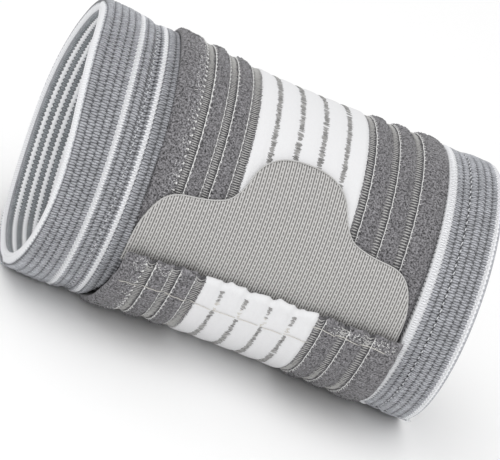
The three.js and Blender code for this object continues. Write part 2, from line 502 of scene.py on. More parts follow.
class Weave:
    """Writes a cloth's material from sums over the cloth map, in millimetres."""

    def __init__(self, name: str) -> None:
        """Makes the material and its shader.

        Args:
            name: the material's name.
        """
        self.material = bpy.data.materials.new(name)
        self.shader = shader_of(self.material)
        self.nodes = self.material.node_tree.nodes
        self.links = self.material.node_tree.links
        chart = self.nodes.new("ShaderNodeUVMap")
        chart.uv_map = CLOTH_MAP
        parts = self.nodes.new("ShaderNodeSeparateXYZ")
        self.links.new(chart.outputs[0], parts.inputs[0])
        self.along = Term(self, parts.outputs[0])
        self.round = Term(self, parts.outputs[1])

    def feed(self, socket: bpy.types.NodeSocket, value: Union[Value, Paint]) -> None:
        """Sets a socket to a number or a colour, or links a value to it.

        Args:
            socket: the socket that is set.
            value: a term, another socket, a number or a colour.
        """
        value = getattr(value, "socket", value)
        if isinstance(value, bpy.types.NodeSocket):
            self.links.new(value, socket)
        elif isinstance(value, tuple) and len(socket.default_value) > len(value):
            socket.default_value = (*value, 1.0)
        else:
            socket.default_value = value

    def sum_of(self, kind: Maths, *values: Value) -> Term:
        """One sum.

        Args:
            kind: which sum.
            values: its terms or numbers.

        Returns:
            The result.
        """
        node = self.nodes.new("ShaderNodeMath")
        node.operation = kind.value
        for socket, value in zip(node.inputs, values):
            self.feed(socket, value)
        return Term(self, node.outputs[0])

    def step(self, value: Term, low: float, high: float) -> Term:
        """An S-curve step of a value.

        Args:
            value: what is stepped.
            low: where the step is 0.
            high: where the step is 1.

        Returns:
            The step.
        """
        node = self.nodes.new("ShaderNodeMapRange")
        node.interpolation_type = "SMOOTHSTEP"
        for socket, number in zip(node.inputs, (value, low, high)):
            self.feed(socket, number)
        return Term(self, node.outputs[0])

    def vector(self, first: Value, second: Value, third: Value = 0.0) -> bpy.types.NodeSocket:
        """Three values as one vector.

        Args:
            first: its first value.
            second: its second.
            third: its third.

        Returns:
            The socket that gives it.
        """
        node = self.nodes.new("ShaderNodeCombineXYZ")
        for socket, value in zip(node.inputs, (first, second, third)):
            self.feed(socket, value)
        return node.outputs[0]

    def noise(self, grain: float, stretch: float = 1.0, detail: float = 2.0, part: float = 0.0) -> Term:
        """Soft noise over the cloth, about 0.5 in the mean.

        Args:
            grain: the size of its grains in millimetres.
            stretch: how many times longer the grains are round the wrap.
            detail: how many finer layers it has.
            part: a number that gives each use its own noise.

        Returns:
            The noise.
        """
        node = self.nodes.new("ShaderNodeTexNoise")
        node.noise_dimensions = "3D"
        place = self.vector(self.along / grain, self.round / (grain * stretch), part)
        self.links.new(place, node.inputs["Vector"])
        node.inputs["Scale"].default_value = 1.0
        node.inputs["Detail"].default_value = detail
        return Term(self, node.outputs[0])

    def chance(self, first: Value, second: Value) -> Term:
        """A number from 0 to 1 that is the same for the same pair.

        Args:
            first: the pair's first number.
            second: its second.

        Returns:
            The number.
        """
        node = self.nodes.new("ShaderNodeTexWhiteNoise")
        node.noise_dimensions = "2D"
        self.links.new(self.vector(first, second), node.inputs["Vector"])
        return Term(self, node.outputs[0])

    def blend(self, share: Value, first: Paint, second: Paint) -> bpy.types.NodeSocket:
        """A colour between two.

        Args:
            share: 0 for the first and 1 for the second.
            first: one colour.
            second: the other.

        Returns:
            The colour between them.
        """
        node = self.nodes.new("ShaderNodeMix")
        node.data_type = "RGBA"
        for number, value in zip(MIX_SOCKETS, (share, first, second)):
            self.feed(node.inputs[number], value)
        return node.outputs[MIX_COLOUR]

    def shade(self, colour: Paint, light: Value) -> bpy.types.NodeSocket:
        """A colour times a brightness.

        Args:
            colour: the colour.
            light: the brightness.

        Returns:
            The socket that gives the product.
        """
        node = self.nodes.new("ShaderNodeVectorMath")
        node.operation = "SCALE"
        self.feed(node.inputs[0], colour)
        self.feed(node.inputs["Scale"], light)
        return node.outputs[0]

    def dress(self, colour: Paint, height: Optional[Term], relief: float, roughness: float,
              sheen: float) -> bpy.types.Material:
        """Finishes the material.

        Args:
            colour: the cloth's colour.
            height: the surface's fine height, from 0 to 1, or none.
            relief: that height in millimetres.
            roughness: the shader's roughness.
            sheen: the shader's sheen, the soft light on the fibres' tips.

        Returns:
            The material.
        """
        for socket, value in (
            ("Base Color", colour),
            ("Roughness", roughness),
            ("Specular IOR Level", SPECULAR),
            ("Sheen Weight", sheen),
            ("Sheen Roughness", SHEEN_ROUGHNESS),
        ):
            self.feed(self.shader.inputs[socket], value)
        if height is not None:
            bump = self.nodes.new("ShaderNodeBump")
            bump.inputs["Strength"].default_value = 1.0
            bump.inputs["Distance"].default_value = relief * MM
            self.feed(bump.inputs["Height"], height)
            self.links.new(bump.outputs[0], self.shader.inputs["Normal"])
        return self.material


@dataclass(frozen=True)
class KnitFinish:
    """The elastic knit: rows of short bars in columns, with pinholes between the columns."""

    name: str
    gray: Colour = (0.425, 0.433, 0.461)
    white: Colour = (0.82, 0.825, 0.845)
    column_pitch: float = 1.606
    column_start: float = 1.4
    bar_pitch: float = 0.5205
    tooth_pitch: float = 1.041
    tooth_height: float = 0.38
    # how deep the painted shade is in the pinholes and grooves between the columns
    gap_shade: float = 0.42
    gap_half: float = 0.26
    relief: float = 0.05
    # how strongly each bar's shading is painted, for knit whose bars are not modelled
    painted_bar_shade: float = 0.0
    stripes: Table = ()
    ground: Table = ()
    shadows: tuple[tuple[float, float, float], ...] = ((16.4, 19.0, 0.2),)
    # how deep the painted shade is in the ground between the bars, in the gray and in the white stripes
    ground_shade: float = 0.66
    ground_shade_white: float = 0.18
    stitch_rows: tuple[float, ...] = ()
    stitch_pitch: float = 1.6
    hole_half: tuple[float, float] = (0.26, 0.34)
    # how deep the painted shade is in the stitch rows' needle holes
    hole_shade: float = 0.7

    def stripe_share(self, weave: Weave) -> Term:
        """How white the cloth is: 1 in the stripes, whose edges are rows of small teeth.

        Args:
            weave: the material that is being written.

        Returns:
            The share.
        """
        teeth = weave.round.zigzag(self.tooth_pitch) * self.tooth_height - self.tooth_height / 2
        whole = weave.along * 0.0
        for start, end in self.stripes:
            left = (weave.along - teeth).step(start - 0.05, start + 0.05)
            right = 1.0 - (weave.along + teeth).step(end - 0.05, end + 0.05)
            whole = whole.most(left * right)
        return whole

    def stitch_holes(self, weave: Weave) -> Term:
        """1 in the needle holes of the hem's stitch rows, which are painted in shade.

        Args:
            weave: the material that is being written.

        Returns:
            The holes, 0 everywhere else.
        """
        whole = weave.along * 0.0
        half_width, half_length = self.hole_half
        up = ((weave.round / self.stitch_pitch).fraction() - 0.5) * (self.stitch_pitch / half_length)
        for place in self.stitch_rows:
            away = (weave.along - place) / half_width
            whole = whole.most(1.0 - (away * away + up * up).root().step(0.5, 1.1))
        return whole

    def build(self) -> bpy.types.Material:
        """Makes the material, which is painted in deep shade in the ground between the yarn's bars.

        Returns:
            The material.
        """
        weave = Weave(self.name)
        stripe = self.stripe_share(weave)
        column = (weave.along - self.column_start) / self.column_pitch
        away = (0.5 - (column.fraction() - 0.5).size()) * self.column_pitch
        gap = 1.0 - away.step(0.0, self.gap_half)
        yarn = weave.noise(0.3, stretch=0.5, detail=3.0, part=2.0)
        bars = (weave.round + column.odd() * (self.bar_pitch / 2)).zigzag(self.bar_pitch)
        drift = weave.noise(6.0, stretch=2.0, part=5.0) * 0.16 + 0.92
        row = (weave.round / self.bar_pitch + column.odd() * 0.5).floor()
        # painted shade across each bar where the bars are not modelled, and a random tone for each bar
        painted = (bars - 0.5) * self.painted_bar_shade + weave.chance(column.floor(), row) * 0.3 + 0.85
        gray = weave.shade(self.gray, (yarn.step(0.25, 0.75) * 0.6 + 0.70) * drift * painted)
        # painted shade on the rolled rim's white band, darkest in the lines between its bars
        rim = 1.0 - weave.along.step(0.6, 1.3)
        white = weave.shade(self.white, (yarn * 0.12 + 0.94) * (1.0 - rim * (0.2 - bars * 0.2)))
        cloth = weave.blend(stripe, gray, white)
        # painted shade in the pinholes and grooves between the columns, lighter in the white stripes
        shade = 1.0 - gap * (self.gap_shade - stripe * (self.gap_shade * 0.8))
        # painted shade in the needle holes of the stitch rows
        shade = shade * (1.0 - self.stitch_holes(weave) * self.hole_shade)
        for low, high, depth in self.shadows:
            shade = shade * (1.0 - weave.along.between(low, high, soft=0.3) * depth)
        # painted shade: the ground between the bars is darkened over the given places, less under the white
        # stripes
        for low, high in self.ground:
            depth = self.ground_shade - stripe * (self.ground_shade - self.ground_shade_white)
            shade = shade * (1.0 - weave.along.between(low, high, soft=0.2) * depth)
        return weave.dress(weave.shade(cloth, shade), yarn, self.relief, roughness=0.86, sheen=0.12)


@dataclass(frozen=True)
class TerryFinish:
    """The strap's terry: dark heather loops at both sides and white loops in the middle."""

    name: str
    dark: Colour = (0.152, 0.148, 0.156)
    white: Colour = (0.74, 0.74, 0.75)
    light_fleck: Colour = (0.42, 0.42, 0.44)
    # channel_floor is painted shade: the near-black floor of the laddered channels
    channel_floor: Colour = (0.06, 0.059, 0.063)
    floor_shade: float = 0.9
    white_zone: tuple[float, float] = (17.9, 42.0)
    margin: float = 6.4
    pitch: float = 5.2
    channels: int = 10
    floor_from: float = -0.75
    floor_to: float = 0.85
    guide_line: float = 2.9
    fleck_zone: tuple[float, float] = (3.6, 5.4)
    relief: float = 0.2

    def build(self) -> bpy.types.Material:
        """Makes the material.

        Returns:
            The material.
        """
        weave = Weave(self.name)
        fuzz = (weave.noise(0.5, part=3.0) - 0.5) * 0.9
        light = (weave.along + fuzz).between(*self.white_zone, soft=0.12)
        loops = weave.noise(0.36, detail=1.0, part=1.0)
        tufts = weave.noise(0.75, detail=1.0, part=4.0)
        heather = loops.step(0.30, 0.70) * 0.7 + tufts.step(0.30, 0.70) * 0.3
        drift = weave.noise(5.0, stretch=1.5, part=8.0) * 0.2 + 0.9
        dark = weave.shade(self.dark, (heather * 1.9 + 0.08) * drift)
        speck = weave.noise(0.3, stretch=1.2, detail=0.0, part=6.0).step(0.62, 0.72)
        in_zone = weave.along.between(*self.fleck_zone, soft=0.6)
        guide = weave.along.between(self.guide_line - 0.1, self.guide_line + 0.1, soft=0.1)
        flecks = (speck * (in_zone * 0.8 + 0.14)).most(guide * tufts.step(0.45, 0.6) * 0.45)
        dark = weave.blend(flecks, dark, self.light_fleck)
        channel = (((weave.along - self.margin) / self.pitch + 0.5).fraction() - 0.5) * self.pitch
        last = self.margin + self.pitch * (self.channels - 1)
        laddered = weave.along.between(self.margin - 1.5, last + 1.5, soft=0.1)
        wall = 1.0 - channel.step(self.floor_to - 0.1, self.floor_to + 0.1)
        floor = channel.step(self.floor_from, self.floor_to - 0.2) * wall
        # painted shade on the floors of the laddered channels, under the ladders' bars
        dark = weave.blend(floor * laddered * self.floor_shade, dark, self.channel_floor)
        white = weave.shade(self.white, loops * 0.05 + tufts * 0.04 + 0.96)
        colour = weave.blend(light, dark, white)
        relief = (loops * 0.7 + tufts * 0.3) * (1.0 - light * 0.75)
        return weave.dress(colour, relief, self.relief, roughness=0.95, sheen=0.18)


@dataclass(frozen=True)
class TabFinish:
    """The hook tab's face: fine ribs run round the wrap, light ones beside dashed dark ones."""

    name: str
    light: Colour = (0.56, 0.55, 0.54)
    dark: Colour = (0.17, 0.166, 0.161)
    rib_pitch: float = 0.52
    dash_pitch: float = 1.05
    relief: float = 0.05

    def build(self) -> bpy.types.Material:
        """Makes the material, whose dark lines are solid and dashed by turns.

        Returns:
            The material.
        """
        weave = Weave(self.name)
        rib = weave.along / self.rib_pitch + 0.5
        ridge = (rib.fraction() - 0.5).size() * 2.0
        shift = weave.chance(rib.floor(), 1.0)
        dash = ((weave.round / self.dash_pitch + shift).fraction() - 0.5).size() * 2.0
        dashed = 1.0 - dash.step(0.5, 0.85) * rib.odd() * 0.65
        gaps = (1.0 - ridge.step(0.25, 0.72)) * dashed
        grain = weave.noise(0.4, stretch=3.0, part=1.0) * 0.4 + 0.8
        colour = weave.shade(weave.blend(gaps, self.light, self.dark), grain)
        return weave.dress(colour, 1.0 - gaps, self.relief, roughness=0.8, sheen=0.05)


@dataclass(frozen=True)
class ThreadFinish:
    """A sewing or knitting thread."""

    name: str
    colour: Colour
    roughness: float = 0.7
    variety: float = 0.0
    twist_pitch: float = 0.3
    relief: float = 0.03

    def build(self) -> bpy.types.Material:
        """Makes the material, whose threads differ in brightness by their variety.

        Returns:
            The material.
        """
        weave = Weave(self.name)
        twist = (weave.along + weave.round * 0.8).zigzag(self.twist_pitch)
        grain = weave.noise(0.25, detail=1.0, part=1.0)
        thread = weave.chance((weave.round / THREAD_STEP + 0.5).floor(), 3.0)
        light = (twist * 0.18 + grain * 0.2 + 0.81) * (thread * self.variety + (1.0 - self.variety / 2))
        colour = weave.shade(self.colour, light)
        return weave.dress(colour, twist, self.relief, self.roughness, sheen=0.1)


class Cloth:
    """Turns rows of rings into a closed mesh with a cloth map."""

    def __init__(self, name: str) -> None:
        """Starts a piece.

        Args:
            name: the piece's name.
        """
        self.name = name

    def closed(self, points: np.ndarray, chart: np.ndarray, joined: bool,
               folded: bool = False) -> bpy.types.Object:
        """A body from rings of points, joined end to end or capped at both ends.

        Args:
            points: rows of rings of points in metres.
            chart: the cloth map, with one more row and column than the points.
            joined: whether the last ring joins the first.
            folded: whether each ring's second half runs back under its first, point by point.

        Returns:
            The new object.
        """
        rows, columns = points.shape[:2]
        spans = rows if joined else rows - 1
        row, column = (x.ravel() for x in np.mgrid[0:spans, 0:columns])
        corner_rows = np.stack([row, row, row + 1, row + 1], axis=1)
        corner_columns = np.stack([column, column + 1, column + 1, column], axis=1)
        quads = (corner_rows % rows) * columns + corner_columns % columns
        corners = chart[corner_rows, corner_columns]
        faces = quads.tolist()
        spots = [corners.reshape(-1, 2)]
        if folded:
            over = np.arange(columns // 2 - 1)
            caps = np.stack([over, over + 1, columns - 2 - over, columns - 1 - over], axis=1)
            for ring, order in ((0, caps[:, ::-1]), (rows - 1, caps)):
                faces.extend((ring * columns + order).tolist())
                spots.append(chart[ring, order].reshape(-1, 2))
        elif not joined:
            ring = np.arange(columns)
            for row, order in ((0, ring[::-1]), (rows - 1, ring)):
                faces.append((row * columns + order).tolist())
                spots.append(chart[row, order])
        return self.made(points.reshape(-1, 3), faces, np.vstack(spots))

    def made(self, points: np.ndarray, faces: list[list[int]], spots: np.ndarray) -> bpy.types.Object:
        """An object from points, faces and the cloth map of their corners.

        Args:
            points: the points in metres.
            faces: each face's points.
            spots: the cloth map at each face's corners, in order.

        Returns:
            The new object, shaded smooth, with its faces pointing out.
        """
        mesh = bpy.data.meshes.new(self.name)
        mesh.from_pydata(points.tolist(), [], faces)
        chart = mesh.uv_layers.new(name=CLOTH_MAP, do_init=False)
        chart.uv.foreach_set("vector", spots.astype(np.float32).ravel())
        mesh.polygons.foreach_set("use_smooth", np.ones(len(faces), bool))
        mesh.update()
        if self.volume(points, faces) < 0:
            mesh.flip_normals()
        return added(self.name, mesh)

    @staticmethod
    def volume(points: np.ndarray, faces: list[list[int]]) -> float:
        """Six times the volume inside the faces with four corners or fewer.

        Args:
            points: the points in metres.
            faces: each face's points.

        Returns:
            The volume, less than 0 if the faces point in.
        """
        quads = np.array([face for face in faces if len(face) == 4])
        a, b, c, d = (points[quads[:, k]] for k in range(4))
        return float((np.cross(b, c) * a).sum() + (np.cross(c, d) * a).sum())


class Threads(Cloth):
    """Makes many short threads as one mesh of flattened tubes with drawn-in ends."""

    def __init__(self, name: str, sides: int = 6) -> None:
        """Starts the threads.

        Args:
            name: the piece's name.
            sides: how many sides each thread has.
        """
        super().__init__(name)
        self.sides = sides
        self.points: list[np.ndarray] = []
        self.faces: list[list[int]] = []
        self.spots: list[np.ndarray] = []
        self.count = 0

    def lay(self, paths: np.ndarray, ups: np.ndarray, width: float, height: float,
            ends: float = 0.35, chart: Optional[np.ndarray] = None) -> None:
        """Lays threads of one kind.

        Args:
            paths: each thread's points in metres, all with as many points.
            ups: the cloth's outward direction at each of them.
            width: the thread's width in millimetres.
            height: the thread's height in millimetres.
            ends: the thickness of its ends, as a share.
            chart: the cloth map at each point, or none for a map along each thread.
        """
        threads, steps = paths.shape[:2]
        if not threads:
            return
        ahead = np.gradient(paths, axis=1)
        ahead /= np.maximum(np.linalg.norm(ahead, axis=-1, keepdims=True), 1e-12)
        side = np.cross(ahead, ups)
        side /= np.maximum(np.linalg.norm(side, axis=-1, keepdims=True), 1e-12)
        rise = np.cross(side, ahead)
        turn = np.arange(self.sides) * (2 * math.pi / self.sides)
        taper = np.ones(steps)
        taper[0] = taper[-1] = ends
        across = (width * MM / 2) * np.cos(turn)[None, None, :, None] * taper[None, :, None, None]
        above = (height * MM / 2) * np.sin(turn)[None, None, :, None] * taper[None, :, None, None]
        rings = paths[:, :, None] + side[:, :, None] * across + rise[:, :, None] * above
        start = self.count
        self.points.append(rings.reshape(-1, 3))
        self.count += threads * steps * self.sides
        thread, step, edge = (x.ravel() for x in np.mgrid[0:threads, 0:steps - 1, 0:self.sides])
        base = start + (thread * steps + step) * self.sides
        beside = (edge + 1) % self.sides
        quads = np.stack([base + edge, base + beside, base + beside + self.sides,
                          base + edge + self.sides], axis=1)
        lengths = np.linalg.norm(np.diff(paths, axis=1), axis=-1).cumsum(axis=1) / MM
        run = np.concatenate([np.zeros((threads, 1)), lengths], axis=1)
        if chart is None:
            chart = np.stack([run, THREAD_STEP * np.arange(threads)[:, None] + 0.0 * run], axis=-1)
        lower, upper = chart[thread, step], chart[thread, step + 1]
        here, there = (width / 2 * np.cos(turn[side_of]) for side_of in (edge, beside))
        rim_here, rim_there = (np.stack([0.0 * rim, rim], axis=1) for rim in (here, there))
        corner = np.stack([lower + rim_here, lower + rim_there, upper + rim_there, upper + rim_here], axis=1)
        self.faces.extend(quads.tolist())
        self.spots.append(corner.reshape(-1, 2))
        around = np.arange(self.sides)
        firsts = start + np.arange(threads)[:, None] * steps * self.sides + around[::-1][None]
        lasts = start + (np.arange(threads)[:, None] * steps + steps - 1) * self.sides + around[None]
        self.faces.extend(firsts.tolist() + lasts.tolist())
        ends_of = np.concatenate([chart[:, 0], chart[:, -1]])
        self.spots.append(np.repeat(ends_of, self.sides, axis=0))

    def build(self) -> bpy.types.Object:
        """Makes the one object."""
        return self.made(np.vstack(self.points), self.faces, np.vstack(self.spots))


@dataclass
class SleevePiece:
    """The knitted sleeve with its rims rolled in."""

    form: WrapForm
    rows: int = 300
    plain_step: float = 0.27
    edge_step: float = 0.1
    edge_reach: float = 2.8
    lap_reach: float = 1.8
    coarse_step: float = 2.4
    inner_step: float = 0.5
    rim_roll: float = 1.0
    rim_thickness: float = 2.7
    roll_steps: int = 9
    stitch_sink: float = 0.4
    stitch_width: float = 0.75
    seam_turn: float = 27.0
    seam_soft: float = 0.7
    seam_ridge: Bump = Bump(-0.25, 27.0, 1.6)
    left_slip: float = -0.7
    right_slip: float = 1.0
    slip_span: tuple[float, float] = (30.0, 60.0)
    slip_back: tuple[float, float] = (300.0, 350.0)
    top_slip: Bump = Bump(-0.6, 170.0, 45.0)
    top_slip_span: tuple[float, float] = (4.0, 14.0)
    flat_round: float = 0.176
    inside_map: float = 200.0
    rim_table: Table = (
        (0.0, 1.4), (45.0, 0.7), (110.0, 0.0), (180.0, 0.0), (205.0, 2.1),
        (275.0, 2.1), (315.0, 0.7), (340.0, 0.7), (360.0, 1.4),
    )
    stripes: Table = ((-6.0, 1.0), (9.1, 10.2), (14.9, 15.8), (78.3, 80.25), (89.25, 90.3))
    stitch_rows: tuple[float, float] = (13.4, 83.3)

    def finish(self, name: str, ground: Table = ()) -> KnitFinish:
        """The cuffs' striped knit, painted in shade between the bars over the given places."""
        return KnitFinish(name=name, stripes=self.stripes, stitch_rows=self.stitch_rows, ground=ground)

    def slip(self, across: np.ndarray, turn: np.ndarray) -> np.ndarray:
        """How far the stripes jump along the axis at the sewn seam.

        Args:
            across: places across the cloth, from the left rim.
            turn: turns from the seam.

        Returns:
            The jump in millimetres.
        """
        most = self.left_slip + (self.right_slip - self.left_slip) * smooth(across, *self.slip_span)
        under = 1 - smooth(turn, self.seam_turn - self.seam_soft, self.seam_turn + self.seam_soft)
        over = self.top_slip.at(turn) * smooth(across, *self.top_slip_span) * (across < self.form.length / 2)
        return most * (under + smooth(turn, *self.slip_back)) + over

    def chart(self, across: np.ndarray, turn: np.ndarray) -> np.ndarray:
        """The cloth map, which shows how the white rim rolls in towards the back.

        Args:
            across: places across the cloth, from the left rim.
            turn: turns from the seam.

        Returns:
            The map's places, in millimetres.
        """
        rolled = eased(np.clip(turn, 0.0, 360.0), self.rim_table) * (1 - smooth(across, 0.5, 2.5))
        return charted(across - self.slip(across, turn) + rolled, turn / self.form.degrees_per_mm)

    def on_knit(self, across: np.ndarray, turn: np.ndarray, lift: Number) -> tuple[np.ndarray, np.ndarray]:
        """Points above a cuff's knit, in metres, and the outward direction at each of them.

        Args:
            across: places across the cloth, from the left rim.
            turn: turns from the seam.
            lift: how far above the ground of the knit, in millimetres.

        Returns:
            The points and the directions.
        """
        along = self.form.left_rim + across + self.slip(across, turn)
        base = self.form.sleeve_radius(along, turn) - self.relief(across, turn) + lift
        return self.form.upright(along, turn, base)

    def relief(self, across: np.ndarray, turn: np.ndarray) -> np.ndarray:
        """How deep the knit sinks along the hems' stitch rows, less the seam's ridge.

        Args:
            across: places across the cloth, from the left rim.
            turn: turns from the seam.

        Returns:
            The depth in millimetres.
        """
        round_wrap = turn / self.form.degrees_per_mm
        pucker = 0.85 + 0.15 * np.cos(2 * math.pi * round_wrap / KnitFinish.stitch_pitch)
        rows = sum(hump(across, place, self.stitch_width) for place in self.stitch_rows)
        return self.seam_ridge.at(turn) + self.stitch_sink * rows * pucker

    def section(self) -> tuple[np.ndarray, np.ndarray, np.ndarray]:
        """The ring of the sleeve's section.

        Returns:
            Places along the axis, depths below the outside, and places across the cloth.
        """
        form, roll, thick = self.form, self.rim_roll, self.rim_thickness
        left_edge, right_edge = form.left_reveal, form.length - form.right_reveal
        across = np.concatenate([
            np.arange(roll, left_edge - self.edge_reach, self.plain_step),
            np.arange(left_edge - self.edge_reach, left_edge + self.lap_reach, self.edge_step),
            np.arange(left_edge + self.coarse_step, right_edge - self.coarse_step, self.coarse_step),
            np.arange(right_edge - self.lap_reach / 2, right_edge + self.edge_reach, self.edge_step),
            np.arange(right_edge + self.edge_reach, form.length - roll, self.plain_step),
            [form.length - roll],
        ])
        turn = np.linspace(0.0, math.pi, self.roll_steps + 2)[1:-1]
        arc = turn * (roll + thick / 2) / 2
        inner = np.concatenate([
            np.linspace(form.length - roll, right_edge + 4.0, 4),
            np.arange(right_edge + 3.5, right_edge - 1.0, -self.inner_step),
            np.linspace(right_edge - 1.5, left_edge + 1.5, 12),
            np.arange(left_edge + 1.0, left_edge - 4.0, -self.inner_step),
            np.linspace(left_edge - 4.5, roll, 6),
        ])
        inner_depth = np.where((inner < 1.5) | (inner > form.length - 1.5), thick, form.sleeve_wall)
        along = np.concatenate([
            form.left_rim + across,
            form.right_rim - roll + roll * np.sin(turn),
            form.left_rim + inner,
            form.left_rim + roll - roll * np.sin(turn),
        ])
        depth = np.concatenate([
            np.zeros(len(across)),
            thick / 2 * (1 - np.cos(turn)),
            inner_depth,
            thick / 2 * (1 + np.cos(turn)),
        ])
        chart = np.concatenate([
            across,
            form.length - roll + arc,
            inner + self.inside_map,
            roll - arc[::-1],
        ])
        return along, depth, chart

    def build(self) -> bpy.types.Object:
        """Makes the sleeve.

        Returns:
            The sleeve.
        """
        form = self.form
        along, depth, across = self.section()
        turn = full_turn(self.rows)
        outside = np.clip(across, 0.0, form.length)[None] * np.ones_like(turn)
        bare = 1 - smooth(form.reveal_share(along), 0.95, 1.0)
        knit = self.relief(outside, turn) * (depth[None] < 0.3) * bare
        outer, inner = (form.sleeve_radius(along[None], turn, inside) for inside in (False, True))
        radius = np.where(across < self.inside_map, outer, inner) - depth[None] - knit
        points = form.place(along[None], turn, radius)
        chart = self.chart(np.append(across, across[0])[None], full_turn(self.rows, closed=True))
        piece = Cloth("sleeve_knit").closed(points, chart, joined=True)
        edges = (form.left_reveal, form.length - form.right_reveal)
        # places where the ground between the cuffs' bars is painted in shade
        ground = ((1.3, edges[0] + 3.0), (edges[1] - 3.0, form.length - 1.1))
        piece.data.materials.append(self.finish("cuff_ground", ground).build())
        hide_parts("sleeve")
        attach(piece, BODY)
        return piece

    def declare(self, piece: bpy.types.Object, hems: Sequence[bpy.types.Object]) -> None:
        """Takes the sleeve and its hems and does nothing with them.

        Args:
            piece: the sleeve; not used.
            hems: the linings and their stitches; not used.
        """


@dataclass
class KnitBars:
    """The short bars of yarn that lie side by side in a cuff's columns."""

    sleeve: SleevePiece
    name: str
    columns: range
    width: float = 0.46
    height: float = 0.4
    lift: float = 0.07
    sway: float = 0.2
    end_dip: float = 0.12
    rim_gap: float = 0.95
    strap_gap: float = -0.38
    shortest: float = 0.4
    middle_column: int = 28
    steps: int = 4
    seed: int = 21

    def build(self) -> bpy.types.Object:
        """Makes one cuff's bars, which stop short of the strap.

        Returns:
            The bars, as one piece.
        """
        form, knit = self.sleeve.form, KnitFinish
        rng = np.random.default_rng(self.seed)
        count = round(360.0 / form.degrees_per_mm / knit.bar_pitch)
        threads = Threads(self.name, sides=4)
        share = np.linspace(0.0, 1.0, self.steps)[None]
        for number in self.columns:
            start = knit.column_start + number * knit.column_pitch
            low = start if number else self.rim_gap
            high = start + knit.column_pitch
            if high > form.length - self.rim_gap - knit.column_pitch / 2:
                high = form.length - self.rim_gap
            spots = np.arange(count) + 0.5 * (number % 2) + rng.uniform(-0.09, 0.09, count)
            turn = spots[:, None] * (360.0 / count) + 0.0 * share
            sway = self.sway * np.where(np.arange(count) % 2, 1.0, -1.0)[:, None]
            across = low + (high - low) * share + sway + rng.uniform(-0.04, 0.04, (count, 1))
            side = -1.0 if number < self.middle_column else 1.0
            covered = form.covered(side, turn) + self.strap_gap
            if side < 0:
                across = np.minimum(across, form.left_reveal - covered)
            else:
                across = np.maximum(across, form.length - form.right_reveal + covered)
            free = across[:, -1] - across[:, 0] > self.shortest
            turn, across = turn[free], across[free]
            lift = self.lift - self.end_dip * ((share < 0.01) | (share > 0.99))
            chart = self.sleeve.chart(across + self.sleeve.slip(across, turn), turn)
            points, up = self.sleeve.on_knit(across, turn, lift)
            threads.lay(points, up, self.width, self.height, ends=0.5, chart=chart)
        piece = threads.build()
        piece.data.materials.append(self.sleeve.finish(self.name).build())
        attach(piece, BODY)
        return piece


@dataclass
class LiningPiece:
    """The hem folded inside one end of the sleeve."""

    form: WrapForm
    name: str
    node: str
    rim: float
    inwards: int
    depth: float
    rows: int = 200
    start: float = 1.05
    wall: float = 1.0
    stripe_pitch: float = 2.0
    first_stripe: float = 2.0
    groove: float = 0.14
    groove_width: float = 0.2

    def finish(self) -> KnitFinish:
        """Striped knit, white and gray by turns.

        Returns:
            The finish.
        """
        starts = np.arange(self.first_stripe, self.depth, self.stripe_pitch)
        stripes = tuple((start, start + self.stripe_pitch * 0.46) for start in starts)
        return KnitFinish(
            name=self.name + "_knit",
            gray=(0.25, 0.267, 0.28),
            # a white brighter than the cuffs' own: painted light for the lining in the shaded inside of the
            # tube
            white=(0.95, 0.955, 0.97),
            stripes=stripes,
            column_pitch=self.stripe_pitch / 2,
            column_start=self.first_stripe,
            tooth_height=0.4,
            gap_shade=0.3,
            painted_bar_shade=0.7,
        )

    def build(self) -> bpy.types.Object:
        """Makes the lining.

        Returns:
            The lining.
        """
        form = self.form
        outer_step = np.linspace(self.start, self.depth, 12)
        inner_step = np.arange(self.depth, self.start, -0.16)
        away = np.concatenate([outer_step, inner_step])
        lip = np.minimum(away - self.start, self.depth - away) / (self.wall / 2)
        fullness = arched(lip) * 0.8 + 0.2
        inner = np.arange(len(away)) >= len(outer_step)
        along = self.rim + self.inwards * away
        column = (away - self.first_stripe) / (self.stripe_pitch / 2)
        sink = self.groove * hump(column, np.round(column), self.groove_width)
        middle = form.sleeve_wall + form.clearance + self.wall / 2
        inset = middle + np.where(inner, 1, -1) * self.wall / 2 * fullness - np.where(inner, sink, 0)
        points = form.place(along[None], full_turn(self.rows), (form.free_radius(along) - inset)[None])
        round_wrap = full_turn(self.rows, closed=True) / form.degrees_per_mm
        chart = charted(np.append(away, away[0])[None], round_wrap)
        piece = Cloth(self.name).closed(points, chart, joined=True)
        piece.data.materials.append(self.finish().build())
        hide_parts(self.node)
        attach(piece, BODY)
        return piece


